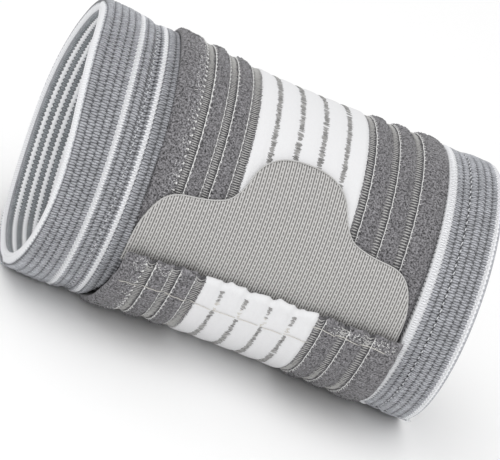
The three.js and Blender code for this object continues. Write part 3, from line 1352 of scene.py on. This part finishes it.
@dataclass
class StrapPiece:
    """The terry strap: padded ribs between sewn channels, wound on, with a folded, sewn end."""

    form: WrapForm
    margin: float = 6.4
    pitch: float = 5.2
    channels: int = 10
    channel_depth: float = 0.5
    white_depth: float = 0.12
    channel_floor: float = 0.6
    channel_wall: float = 1.9
    crown: float = 0.25
    white_crown: float = 0.06
    edge_round: float = 1.25
    right_taper: float = 0.6
    taper_reach: float = 3.2
    end_round: float = 1.3
    scallop: float = 0.4
    fold_tuck: float = 1.3
    puff: float = 0.3
    puff_span: tuple[float, float] = (2.0, 7.0)
    stitch_rows: tuple[float, float] = (2.6, 6.7)
    stitch_sink: float = 0.35
    stitch_width: float = 0.9
    loose: float = 0.12
    swell: Bump = Bump(0.7, 205.0, 48.0)
    swell_across: tuple[float, float] = (4.0, 12.0)
    left_give: float = 6.0
    right_give: float = 8.0
    step: float = 0.8
    hem_step: float = 0.25
    across_step: float = 0.3
    finish: TerryFinish = field(default_factory=lambda: TerryFinish(name="strap_terry"))

    @property
    def length(self) -> float:
        """The strap's length, from the seam to the folded end."""
        return self.form.wound_turn / self.form.degrees_per_mm

    def channel_share(self, across: np.ndarray, floor: float, wall: float) -> np.ndarray:
        """1 on a channel's floor and 0 on the ribs.

        Args:
            across: places across the strap, from its left edge.
            floor: half the floor's width.
            wall: how far from the channel's middle the ribs start.

        Returns:
            The share.
        """
        number = np.clip(np.round((across - self.margin) / self.pitch), 0, self.channels - 1)
        away = np.abs(across - self.margin - number * self.pitch)
        return 1 - smooth(away, floor, wall)

    def depth(self, across: np.ndarray, back: np.ndarray) -> np.ndarray:
        """How deep the strap's outside lies below its plain winding.

        Args:
            across: places across the strap, from its left edge.
            back: distances back from the folded end.

        Returns:
            The depth in millimetres, less than 0 where the strap stands proud.
        """
        across, back = np.broadcast_arrays(np.asarray(across, float), np.asarray(back, float))
        low, high = self.finish.white_zone
        white = smooth(across, low - 0.6, low + 1.2) * (1 - smooth(across, high - 1.2, high + 0.6))
        channel = self.channel_share(across, self.channel_floor, self.channel_wall)
        shallow = self.white_depth + self.puff * (1 - smooth(back, *self.puff_span))
        depth = channel * (self.channel_depth + (shallow - self.channel_depth) * white)
        crown = (self.crown + (self.white_crown - self.crown) * white) * (1 - channel)
        for place in self.stitch_rows:
            pull = hump(back, place, self.stitch_width)
            sink = self.stitch_sink * (1 - 0.75 * white) * (0.8 + 0.2 * np.cos(across * 2.2))
            depth = np.maximum(depth, sink * pull)
            crown = crown * (1 - 0.7 * pull)
        loose = smooth(back, 0.8, 2.2) * (1 - smooth(back, 5.2, 9.0))
        depth = depth - crown - self.loose * loose * (1 - channel) * (1 - white)
        taper = smooth(across, self.form.strap_width - self.taper_reach, self.form.strap_width)
        proud = self.swell.at(self.plain_turn(back)) * hump(across, *self.swell_across)
        return depth + self.right_taper * taper - proud

    def plain_turn(self, back: np.ndarray) -> np.ndarray:
        """The turn at distances back from the folded end."""
        return self.form.wound_turn - back * self.form.degrees_per_mm

    def along(self, across: np.ndarray, back: np.ndarray) -> np.ndarray:
        """Places along the axis, with the strap's end spread out at its edges on the underside.

        Args:
            across: places across the strap, from its left edge.
            back: distances back from the folded end.

        Returns:
            The places, in millimetres.
        """
        form, turn = self.form, self.plain_turn(back)
        left = form.spread(-1.0, turn) * (1 - smooth(across, 0.0, self.left_give))
        right = form.spread(1.0, turn) * smooth(across, form.strap_width - self.right_give, form.strap_width)
        return across - form.strap_half - left + right

    def point(self, across: np.ndarray, back: np.ndarray, lift: Number = 0.0) -> np.ndarray:
        """Points of the strap's outside.

        Args:
            across: places across the strap, from its left edge.
            back: distances back from the folded end.
            lift: how far above the outside, in millimetres.

        Returns:
            The points in metres.
        """
        across, back = np.broadcast_arrays(np.asarray(across, float), np.asarray(back, float))
        plain = self.form.strap_radius(across - self.form.strap_half, self.plain_turn(back))
        radius = plain - self.depth(across, back) - self.rounding(across, back) + lift
        return self.form.place(self.along(across, back), self.turn_at(across, back), radius)

    def turn_at(self, across: np.ndarray, back: np.ndarray) -> np.ndarray:
        """The turn of a place on the strap, whose folded end is scalloped by its ribs.

        Args:
            across: places across the strap, from its left edge.
            back: distances back from the folded end.

        Returns:
            The turn from the seam, in degrees.
        """
        notch = self.channel_share(across, floor=0.2, wall=1.2)
        wave = 0.7 - 1.7 * notch + 0.4 * np.sin(across * 0.61) + 0.3 * np.sin(across * 1.73)
        reach = wave * self.scallop * (1 - smooth(back, 0.5, 3.2))
        return self.plain_turn(back) + reach * self.form.degrees_per_mm

    def rounding(self, across: np.ndarray, back: np.ndarray) -> np.ndarray:
        """How far the outside turns in at the strap's edges and its folded end.

        Args:
            across: places across the strap, from its left edge.
            back: distances back from the folded end.

        Returns:
            The distance in millimetres.
        """
        half = self.form.strap_thickness / 2
        edge = np.minimum(across, self.form.strap_width - across)
        return half * (1 - np.minimum(arched(edge / self.edge_round), arched(back / self.end_round)))

    def under(self, across: np.ndarray, back: np.ndarray) -> np.ndarray:
        """Points of the strap's inside.

        Args:
            across: places across the strap, from its left edge.
            back: distances back from the folded end.

        Returns:
            The points in metres.
        """
        radius = self.rounding(across, back) - self.form.strap_thickness
        back = back + self.fold_tuck * (1 - smooth(back, 0.0, 4.0))
        turn = self.plain_turn(back)
        radius = radius + self.form.strap_radius(across - self.form.strap_half, turn)
        return self.form.place(self.along(across, back), turn, radius)

    def up(self, across: np.ndarray, back: np.ndarray) -> np.ndarray:
        """The outward direction at places on the strap."""
        above = self.point(across, back, 1.0) - self.point(across, back)
        return above / np.linalg.norm(above, axis=-1, keepdims=True)

    def build(self) -> bpy.types.Object:
        """Makes the strap.

        Returns:
            The strap.
        """
        width = self.form.strap_width
        edge = self.edge_round * (1 - np.cos(np.linspace(0, math.pi / 2, 7)[:-1]))
        middle = np.arange(self.edge_round, width - self.edge_round, self.across_step)
        across = np.concatenate([edge, middle, width - edge[::-1]])
        inner = np.linspace(width, 0.0, 22)[1:-1]
        end = self.end_round * (1 - np.cos(np.linspace(0.1, math.pi / 2, 8)[:-1]))
        hem = np.arange(self.end_round, self.form.hem_depth, self.hem_step)
        band = np.arange(self.form.hem_depth, self.length, self.step)
        back = np.concatenate([end, hem, band, [self.length]])[::-1][:, None]
        points = np.concatenate([self.point(across[None], back), self.under(inner[None], back)], axis=1)
        ring = np.concatenate([across, inner, [0.0]])[None]
        chart = charted(ring, self.length - np.concatenate([back, back[-1:]]))
        piece = Cloth("strap_terry_band").closed(points, chart, joined=False)
        piece.data.materials.append(self.finish.build())
        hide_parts("strap")
        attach(piece, BODY)
        return piece

    def declare(self, piece: bpy.types.Object, threads: Sequence[bpy.types.Object]) -> None:
        """Takes the strap and its threads and does nothing with them.

        Args:
            piece: the strap; not used.
            threads: the threads and the pile; not used.
        """


class Ladder(Enum):
    """How a dark channel's threads look."""

    TUFTED = "tufts"
    DOTTED = "dots"
    PALE = "pale"
    SOFT = "soft"


@dataclass(frozen=True)
class Rungs:
    """The size of a ladder's bars."""

    pitch: float = 0.5
    start: float = 0.85
    reach: float = 1.62
    width: float = 0.25


@dataclass
class ChannelThreads:
    """The threads on the strap: ladders in its dark channels and dashes in its white ones."""

    strap: StrapPiece
    ladders: dict[int, Ladder] = field(default_factory=lambda: {
        0: Ladder.TUFTED, 1: Ladder.DOTTED, 2: Ladder.PALE, 7: Ladder.SOFT, 8: Ladder.SOFT, 9: Ladder.SOFT,
    })
    rungs: dict[Ladder, Rungs] = field(default_factory=lambda: {
        Ladder.TUFTED: Rungs(),
        Ladder.DOTTED: Rungs(),
        Ladder.PALE: Rungs(reach=2.0),
        Ladder.SOFT: Rungs(pitch=0.62, start=0.7, reach=1.5, width=0.3),
    })
    dashes: tuple[int, ...] = (3, 4, 5, 6)
    covered: float = 36.0
    line_place: float = 0.95
    bead_pitch: float = 1.46
    barb_pitch: float = 1.2
    dash_pitch: float = 0.36
    dash_half: float = 0.72
    bare: Table = ((0.0, 1.5), (4.4, 6.9))
    hem_reach: Table = ((-1.6, 3.9), (-0.2, 4.8))
    hem_channels: tuple[range, range] = (range(7, 10), range(-1, 7))
    hem_ends: tuple[float, float] = (0.6, 58.8)
    specks: int = 420
    loops: int = 15000
    loop_half: float = 0.24
    seed: int = 11

    def centre(self, channel: Number) -> Number:
        """The place of a channel across the strap."""
        return self.strap.margin + channel * self.strap.pitch

    def places(self, rng: np.random.Generator, start: float, pitch: float, loose: float) -> np.ndarray:
        """Distances back from the folded end, evenly spaced but for a little looseness."""
        back = np.arange(start, self.strap.length - self.covered, pitch)
        return back + rng.uniform(-loose, loose, len(back))

    def lay(self, threads: Threads, first: Pair, last: Pair, size: tuple[float, float], lift: float = 0.06,
            dip: float = 0.12, bow: float = 0.0, steps: int = 4) -> None:
        """Lays short threads between pairs of places on the strap.

        Args:
            threads: the threads they join.
            first: where each starts, across the strap and back from its end.
            last: where each ends.
            size: their width and height.
            lift: how far they stand above the cloth.
            dip: how far their ends go down from there.
            bow: how far their middles bend towards the folded end.
            steps: points on each.
        """
        share = np.linspace(0.0, 1.0, steps)[None]
        across, back = (a[:, None] + (b - a)[:, None] * share for a, b in zip(first, last))
        back = np.maximum(back - bow * 4 * share * (1 - share), 0.1)
        height = lift - dip * (np.abs(share - 0.5) > 0.49)
        threads.lay(self.strap.point(across, back, height), self.strap.up(across, back), *size)

    def astride(self, threads: Threads, middle: Pair, reach: Pair, size: tuple[float, float],
                **how: float) -> None:
        """Lays short threads that reach as far to both sides of their middles."""
        first, last = (tuple(m + side * r for m, r in zip(middle, reach)) for side in (-1.0, 1.0))
        self.lay(threads, first, last, size, **how)

    def light(self) -> bpy.types.Object:
        """The ladders' bars, wider near the folded end.

        Returns:
            The bars, as one piece.
        """
        rng = np.random.default_rng(self.seed)
        threads = Threads("ladder_threads", sides=4)
        for channel, kind in self.ladders.items():
            rungs = self.rungs[kind]
            back = self.places(rng, 0.5, rungs.pitch, loose=0.05)
            wide = 0.25 * (back < self.strap.stitch_rows[0])
            left = self.centre(channel) - rungs.start - wide + rng.uniform(-0.1, 0.12, len(back))
            right = left + rungs.reach + wide + rng.uniform(-0.12, 0.05, len(back))
            slant = rng.uniform(-0.07, 0.07, len(back))
            self.lay(threads, (left, back - slant), (right, back + slant), size=(rungs.width, 0.24), dip=0.06)
        return threads.build()

    def line(self, threads: Threads, rng: np.random.Generator, place: float, width: float) -> None:
        """One long line along the strap, with a slight waver.

        Args:
            threads: the threads it joins.
            rng: the chance it wavers by.
            place: where it lies across the strap.
            width: its width.
        """
        back = np.arange(0.4, self.strap.length - self.covered, 0.6)
        across = place + 0.03 * np.sin(back * 2.15) + rng.uniform(-0.025, 0.025, len(back))
        points, up = self.strap.point(across, back, 0.10), self.strap.up(across, back)
        threads.lay(points[None], up[None], width, width)

    def beads(self, threads: Threads, rng: np.random.Generator, place: float, half: float,
              width: float) -> None:
        """Small swellings on a line.

        Args:
            threads: the threads they join.
            rng: the chance they are spaced by.
            place: where the line lies across the strap.
            half: half of a swelling's length.
            width: its width.
        """
        back = self.places(rng, 0.9 + place % 1.0, self.bead_pitch, loose=0.12)
        sway = np.full(len(back), place) + rng.uniform(-0.04, 0.04, len(back))
        half = half * rng.uniform(0.75, 1.2, len(back))
        self.lay(threads, (sway, back - half), (sway + 0.06, back + half), size=(width, 0.3), lift=0.13)

    def barbs(self, threads: Threads, rng: np.random.Generator, place: float, reach: float,
              pitch: float) -> None:
        """Short ends that stick out sideways from a line.

        Args:
            threads: the threads they join.
            rng: the chance they are spaced by.
            place: where the line lies across the strap.
            reach: how far they stick out, less than 0 to the left.
            pitch: from one to the next.
        """
        back = self.places(rng, 1.3, pitch, loose=0.16)
        tip = place + reach * rng.uniform(0.6, 1.2, len(back))
        end = back + rng.uniform(-0.16, 0.3, len(back))
        self.lay(threads, (np.full(len(back), place), back), (tip, end), size=(0.17, 0.18), lift=0.1)

    def lines(self) -> bpy.types.Object:
        """The thin white lines beside the ladders, with their beads, barbs, tufts and specks.

        Returns:
            The threads, as one piece.
        """
        rng = np.random.default_rng(self.seed + 1)
        threads = Threads("channel_lines", sides=5)
        for channel, kind in self.ladders.items():
            right, left = self.centre(channel) + self.line_place, self.centre(channel) - self.line_place
            if kind is Ladder.PALE:
                self.line(threads, rng, left, width=0.13)
                self.beads(threads, rng, left, half=0.3, width=0.28)
                continue
            pitch = self.barb_pitch if kind is Ladder.SOFT else self.bead_pitch
            self.line(threads, rng, right, width=0.17)
            self.barbs(threads, rng, right, 0.34, pitch)
            if kind is Ladder.TUFTED:
                self.beads(threads, rng, right, half=0.4, width=0.34)
                self.beads(threads, rng, left - 0.1, half=0.24, width=0.42)
                self.barbs(threads, rng, left - 0.1, -0.5, pitch)
            elif kind is Ladder.DOTTED:
                self.beads(threads, rng, right, half=0.22, width=0.32)
                self.line(threads, rng, left, width=0.12)
                self.beads(threads, rng, left, half=0.2, width=0.3)
        seen = self.strap.length - self.covered
        self.scatter(threads, rng, self.specks, across=(3.5, 5.4), back=(0.4, seen))
        self.scatter(threads, rng, 60, across=(2.0, 11.0), back=(0.3, 2.4))
        self.scatter(threads, rng, 150, across=(45.5, 58.5), back=(0.5, 2.4))
        return threads.build()

    def scatter(self, threads: Threads, rng: np.random.Generator, count: int, across: tuple[float, float],
                back: tuple[float, float]) -> None:
        """Small light specks strewn over an oblong of the strap.

        Args:
            threads: the threads they join.
            rng: the chance they are strewn by.
            count: how many.
            across: the oblong's reach across the strap.
            back: its reach back from the folded end.
        """
        spot, place = rng.uniform(*across, count), rng.uniform(*back, count)
        turn, half = rng.uniform(-0.9, 0.9, count), rng.uniform(0.1, 0.22, count)
        reach = (half * np.cos(turn), half * np.sin(turn))
        self.astride(threads, (spot, place), reach, size=(0.15, 0.14), steps=3)

    def dark(self) -> bpy.types.Object:
        """The gray dashes in the white ribs' channels, left out where the hem is stitched.

        Returns:
            The dashes, as one piece.
        """
        rng = np.random.default_rng(self.seed + 2)
        threads = Threads("channel_dashes", sides=4)
        for channel in self.dashes:
            back = self.places(rng, 0.9, self.dash_pitch, loose=0.09)
            dashed = rng.random(len(back)) < 0.95
            for low, high in self.bare:
                dashed &= (back < low) | (back > high)
            back = back[dashed]
            middle = self.centre(channel) + rng.uniform(-0.12, 0.12, len(back))
            half = self.dash_half * rng.uniform(0.55, 1.0, len(back)) * np.where(back < 12.0, 0.75, 1.0)
            slant = rng.uniform(-0.14, 0.14, len(back))
            self.astride(threads, (middle, back), (half, slant), size=(0.36, 0.16), lift=0.05, dip=0.02)
        return threads.build()

    def hem(self) -> bpy.types.Object:
        """The two stitch rows that hold the folded end, a long arc at each channel.

        Returns:
            The stitches, as one piece.
        """
        rng = np.random.default_rng(self.seed + 3)
        threads = Threads("hem_stitches", sides=5)
        for row, (low, high), channels in zip(self.strap.stitch_rows, self.hem_reach, self.hem_channels):
            starts = self.centre(np.array(channels))
            first, last = (np.clip(starts + end + rng.uniform(-0.3, 0.3, len(starts)), *self.hem_ends)
                           for end in (low, high))
            back = row + rng.uniform(-0.2, 0.2, len(starts))
            drop = rng.uniform(-0.1, 0.25, len(starts))
            ends = ((first, back - drop), (last, back + drop))
            self.lay(threads, *ends, size=(0.18, 0.18), lift=0.2, bow=0.3, dip=0.25, steps=10)
        for channel in self.dashes:
            middle, back = self.centre(channel) + rng.uniform(-0.3, 0.3, 8), rng.uniform(4.5, 6.8, 8)
            half, slant = rng.uniform(0.2, 0.45, 8), rng.uniform(-0.3, 0.3, 8)
            self.astride(threads, (middle, back), (half, slant), size=(0.24, 0.18))
        return threads.build()

    def pile(self) -> bpy.types.Object:
        """The loops that stand up from the dark terry.

        Returns:
            The loops, as one piece.
        """
        rng = np.random.default_rng(self.seed + 4)
        threads = Threads("terry_pile", sides=3)
        low, high = self.strap.finish.white_zone
        across = rng.uniform(0.35, self.strap.form.strap_width - 0.35, self.loops)
        across = across[(across < low - 0.2) | (across > high + 0.2)]
        back = rng.uniform(0.4, self.strap.length - self.covered, len(across))
        turn = rng.uniform(0.0, math.pi, len(across))
        reach = (self.loop_half * np.cos(turn), self.loop_half * np.sin(turn))
        self.astride(threads, (across, back), reach, size=(0.16, 0.14), lift=0.1, steps=3)
        return threads.build()

    def build(self) -> list[bpy.types.Object]:
        """Makes the groups of threads.

        Returns:
            The pieces.
        """
        finishes = (
            (self.light, ThreadFinish("ladder_thread", (0.48, 0.475, 0.465))),
            (self.lines, ThreadFinish("line_thread", (0.80, 0.80, 0.79))),
            (self.dark, ThreadFinish("dash_thread", (0.34, 0.335, 0.33), variety=0.7)),
            (self.hem, ThreadFinish("hem_thread", (0.66, 0.64, 0.60))),
            (self.pile, ThreadFinish("pile_thread", (0.185, 0.181, 0.190), roughness=0.95, variety=1.5)),
        )
        pieces = []
        for make, finish in finishes:
            piece = make()
            piece.data.materials.append(finish.build())
            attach(piece, BODY)
            pieces.append(piece)
        return pieces


@dataclass
class CuffStitches:
    """The stitch rows that hold the linings in the cuffs."""

    sleeve: SleevePiece
    length: float = 0.95
    widths: tuple[float, float] = (0.2, 0.27)
    height: float = 0.22
    lift: float = 0.3
    end_dip: float = 0.3
    loose_lift: float = 0.35
    loose_end: Table = ((78.2, 33.0), (78.35, 36.0), (78.0, 40.0), (78.2, 45.0), (77.7, 51.0), (77.9, 56.0))
    seed: int = 41

    def build(self) -> bpy.types.Object:
        """Makes both rows, and the loose thread end beside the strap on the underside.

        Returns:
            The stitches, as one piece.
        """
        pitch, turn_per_mm = KnitFinish.stitch_pitch, self.sleeve.form.degrees_per_mm
        rng = np.random.default_rng(self.seed)
        threads = Threads("cuff_stitches", sides=5)
        share = np.linspace(-0.5, 0.5, 5)[None]
        for place, width in zip(self.sleeve.stitch_rows, self.widths):
            middles = (np.arange(int(360.0 / turn_per_mm / pitch)) + 1.0) * pitch
            length = self.length * rng.uniform(0.75, 1.05, len(middles))[:, None]
            across = place + 0.16 * share + rng.uniform(-0.06, 0.06, (len(middles), 1))
            lift = self.lift - self.end_dip * (np.abs(share) > 0.49)
            turn = (middles[:, None] + length * share) * turn_per_mm
            threads.lay(*self.sleeve.on_knit(across, turn, lift), width, self.height)
        across, turn = flowing(self.loose_end, steps=5).T[:, None]
        threads.lay(*self.sleeve.on_knit(across, turn, self.loose_lift), self.widths[0], self.height)
        piece = threads.build()
        piece.data.materials.append(ThreadFinish("cuff_thread", (0.66, 0.67, 0.69)).build())
        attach(piece, BODY)
        return piece


@dataclass
class TabPiece:
    """The thin, bell-shaped hook tab under the strap's end."""

    strap: StrapPiece
    width: float = 58.6
    rise: float = 28.0
    tuck: float = 3.5
    thickness: float = 0.9
    rim_thinning: float = 0.35
    rib_height: float = 0.1
    edge_width: float = 0.3
    end_span: float = 0.9
    samples: int = 4
    rows: int = 30
    flat_area: float = 0.00118
    outline: Table = (
        (1.0, 0.0), (0.99, 0.18), (0.956, 0.31), (0.915, 0.4), (0.86, 0.46), (0.78, 0.495),
        (0.65, 0.513), (0.55, 0.535), (0.465, 0.57), (0.415, 0.625), (0.37, 0.71), (0.34, 0.8),
        (0.3, 0.875), (0.235, 0.94), (0.16, 0.98), (0.07, 1.0), (0.0, 1.003),
    )
    finish: TabFinish = field(default_factory=lambda: TabFinish(name="hook_tab_rib"))

    def top(self, away: np.ndarray) -> np.ndarray:
        """How high the outline stands at a distance from the middle.

        Args:
            away: distances from the tab's middle line.

        Returns:
            The height above the strap's end, in millimetres.
        """
        curve = flowing(self.outline, steps=12)[::-1]
        order = np.maximum.accumulate(curve[:, 0])
        return np.interp(np.abs(away) / (self.width / 2), order, curve[:, 1]) * self.rise

    def edge(self) -> bpy.types.Object:
        """Makes the pale cut edge along the tab's outline.

        Returns:
            The edge.
        """
        form = self.strap.form
        away, height = flowing(self.outline, steps=8)[:-1].T
        along = np.concatenate([-away, away[::-1]]) * (self.width / 2 - self.edge_width / 3)
        rise = np.concatenate([height, height[::-1]]) * self.rise - self.edge_width / 3
        turn = form.wound_turn - 360.0 + rise * form.degrees_per_mm
        radius = form.strap_radius(along, turn) + form.clearance + self.thickness * 0.72
        points, up = form.upright(along, turn, radius)
        threads = Threads("tab_edge", sides=6)
        threads.lay(points[None], up[None], self.edge_width, self.thickness * 0.6)
        piece = threads.build()
        piece.data.materials.append(ThreadFinish("tab_edge_cut", (0.52, 0.515, 0.505)).build())
        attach(piece, BODY)
        return piece

    def build(self, cut_edge: bpy.types.Object) -> bpy.types.Object:
        """Makes the tab.

        Args:
            cut_edge: the piece that runs along its outline; not used.

        Returns:
            The tab.
        """
        form = self.strap.form
        half = self.width / 2
        step = self.finish.rib_pitch / self.samples
        inside = np.arange(0.0, half - self.end_span, step)
        edge = half - self.end_span * (1 - np.linspace(0.0, 1.0, 8)) ** 1.6
        side = np.concatenate([inside, edge])
        across = np.concatenate([-side[:0:-1], side])
        under = across[::-1]
        share = np.linspace(0.0, 1.0, self.rows)[:, None]

        def spread(places: np.ndarray) -> np.ndarray:
            """Heights above the strap's end of the rows at those places."""
            return -self.tuck + (self.top(places)[None] + self.tuck) * share

        def points(places: np.ndarray, lift: np.ndarray) -> np.ndarray:
            """Points of the tab at those places and heights above the winding.

            Args:
                places: places along the axis.
                lift: heights above the winding, in millimetres.

            Returns:
                The points in metres.
            """
            height = spread(places)
            turn = form.wound_turn - 360.0 + height * form.degrees_per_mm
            radius = form.strap_radius(places[None], turn) + form.clearance + lift
            return form.place(places[None], turn, radius)

        ridge = 0.5 + 0.5 * np.cos(2 * math.pi * (across + half) / self.finish.rib_pitch + math.pi)
        crest = self.thickness + self.rib_height * (ridge - 0.5)
        rim = 1 - self.rim_thinning * (share > 0.999)
        over = points(across, crest[None] * rim)
        below = points(under, 0.0 * under[None] * share)
        body = np.concatenate([over, below], axis=1)
        ring = np.concatenate([across, under, [across[0]]]) + half
        heights = np.concatenate([spread(across), spread(under), spread(across[:1])], axis=1)
        heights = np.concatenate([heights, heights[-1:]])
        chart = charted(ring[None], heights + self.tuck)
        piece = Cloth("hook_tab_face").closed(body, chart, joined=False, folded=True)
        piece.data.materials.append(self.finish.build())
        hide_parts("hook_tab")
        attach(piece, BODY)
        return piece


@dataclass(frozen=True)
class Studio:
    """The camera, the floor and the soft lights."""

    target: Place = (0.004272, 0.0004775, 0.02755)
    yaw: float = 11.37
    height: float = 20.0
    roll: float = 21.95
    distance: float = 0.65
    lens: float = 224.9
    clip: tuple[float, float] = (0.05, 50.0)
    aim_right: float = 0.00298
    aim_up: float = 0.0034
    floor_side: float = 12.0
    floor_colour: Colour = (0.98, 0.98, 0.98)
    floor_roughness: float = 0.9
    floor_specular: float = 0.1
    world_light: float = 0.9

    def camera(self) -> bpy.types.Object:
        """Makes the camera at the photograph's angle and sets it as the scene's own.

        Returns:
            The camera.
        """
        yaw, height, roll = (math.radians(x) for x in (self.yaw, self.height, self.roll))
        out = Vector((0.0, -math.cos(height), math.sin(height)))
        up = Vector((0.0, math.sin(height), math.cos(height)))
        axis = Vector((1.0, 0.0, 0.0))
        right = math.cos(yaw) * axis + math.sin(yaw) * out
        ahead = math.sin(yaw) * axis - math.cos(yaw) * out
        aim = Vector(self.target)
        place = aim - self.distance * ahead
        aim = aim - self.aim_right * right - self.aim_up * up
        look = (aim - place).normalized()
        side = look.cross(up).normalized()
        top = side.cross(look)
        cam_right = math.cos(roll) * side + math.sin(roll) * top
        cam_up = math.cos(roll) * top - math.sin(roll) * side
        data = bpy.data.cameras.new("camera")
        data.lens, data.clip_start, data.clip_end = self.lens, *self.clip
        camera = added("camera", data)
        turn = Matrix((cam_right, cam_up, -look)).transposed().to_4x4()
        camera.matrix_world = Matrix.Translation(place) @ turn
        bpy.context.scene.camera = camera
        return camera

    def floor(self) -> bpy.types.Object:
        """Makes the pale floor.

        Returns:
            The floor.
        """
        half = self.floor_side / 2
        mesh = bpy.data.meshes.new("floor")
        corners = [(-half, -half, 0.0), (half, -half, 0.0), (half, half, 0.0), (-half, half, 0.0)]
        mesh.from_pydata(corners, [], [(0, 1, 2, 3)])
        floor = added("floor", mesh)
        material = bpy.data.materials.new("floor_paper")
        shader = shader_of(material)
        shader.inputs["Base Color"].default_value = (*self.floor_colour, 1.0)
        shader.inputs["Roughness"].default_value = self.floor_roughness
        shader.inputs["Specular IOR Level"].default_value = self.floor_specular
        mesh.materials.append(material)
        return floor

    def light(self, name: str, place: Place, side: float, power: float) -> bpy.types.Object:
        """A square soft light that faces the wrap.

        Args:
            name: its name.
            place: where it stands, in metres.
            side: its side in metres.
            power: its power in watts.

        Returns:
            The light.
        """
        data = bpy.data.lights.new(name, "AREA")
        data.shape = "SQUARE"
        data.size = side
        data.energy = power
        light = added(name, data)
        light.location = place
        aim = Vector(self.target) - Vector(place)
        light.rotation_euler = aim.to_track_quat("-Z", "Y").to_euler()
        return light

    def world(self) -> bpy.types.World:
        """A plain white surround.

        Returns:
            The world.
        """
        world = bpy.data.worlds.new("studio")
        bpy.context.scene.world = world
        world.use_nodes = True
        back = next(n for n in world.node_tree.nodes if n.type == "BACKGROUND")
        back.inputs[0].default_value = (1.0, 1.0, 1.0, 1.0)
        back.inputs[1].default_value = self.world_light
        return world

    def build(self) -> None:
        """Sets the whole studio up."""
        self.camera()
        self.floor()
        self.world()
        self.light("top_light", (-0.1, -0.2, 0.9), side=0.8, power=1.5)
        self.light("front_light", (-0.4, -0.95, 0.28), side=0.8, power=2.3)
        bpy.context.scene.view_settings.view_transform = "Standard"


def report(*pieces: bpy.types.Object) -> None:
    """Logs each piece's name and how many faces it has."""
    for piece in pieces:
        LOG.info("%s: %d faces", piece.name, len(piece.data.polygons))


def main() -> None:
    """Builds the wrap's pieces in order, then the studio."""
    logging.basicConfig(level=logging.INFO, format="%(name)s: %(message)s")
    form = WrapForm()
    sleeve = SleevePiece(form)
    tube = sleeve.build()
    hems = [
        LiningPiece(form, "lining_left_knit", "cuff_lining_left", form.left_rim, 1, depth=13.4).build(),
        LiningPiece(form, "lining_right_knit", "cuff_lining_right", form.right_rim, -1, depth=7.8).build(),
        KnitBars(sleeve, "left_cuff_bars", columns=range(0, 12)).build(),
        KnitBars(sleeve, "right_cuff_bars", columns=range(47, 56)).build(),
        CuffStitches(sleeve).build(),
    ]
    sleeve.declare(tube, hems)
    report(tube, *hems)
    strap = StrapPiece(form)
    band = strap.build()
    threads = ChannelThreads(strap).build()
    strap.declare(band, threads)
    report(band, *threads)
    tab = TabPiece(strap)
    cut_edge = tab.edge()
    report(tab.build(cut_edge), cut_edge)
    Studio().build()


if __name__ == "__main__":
    main()
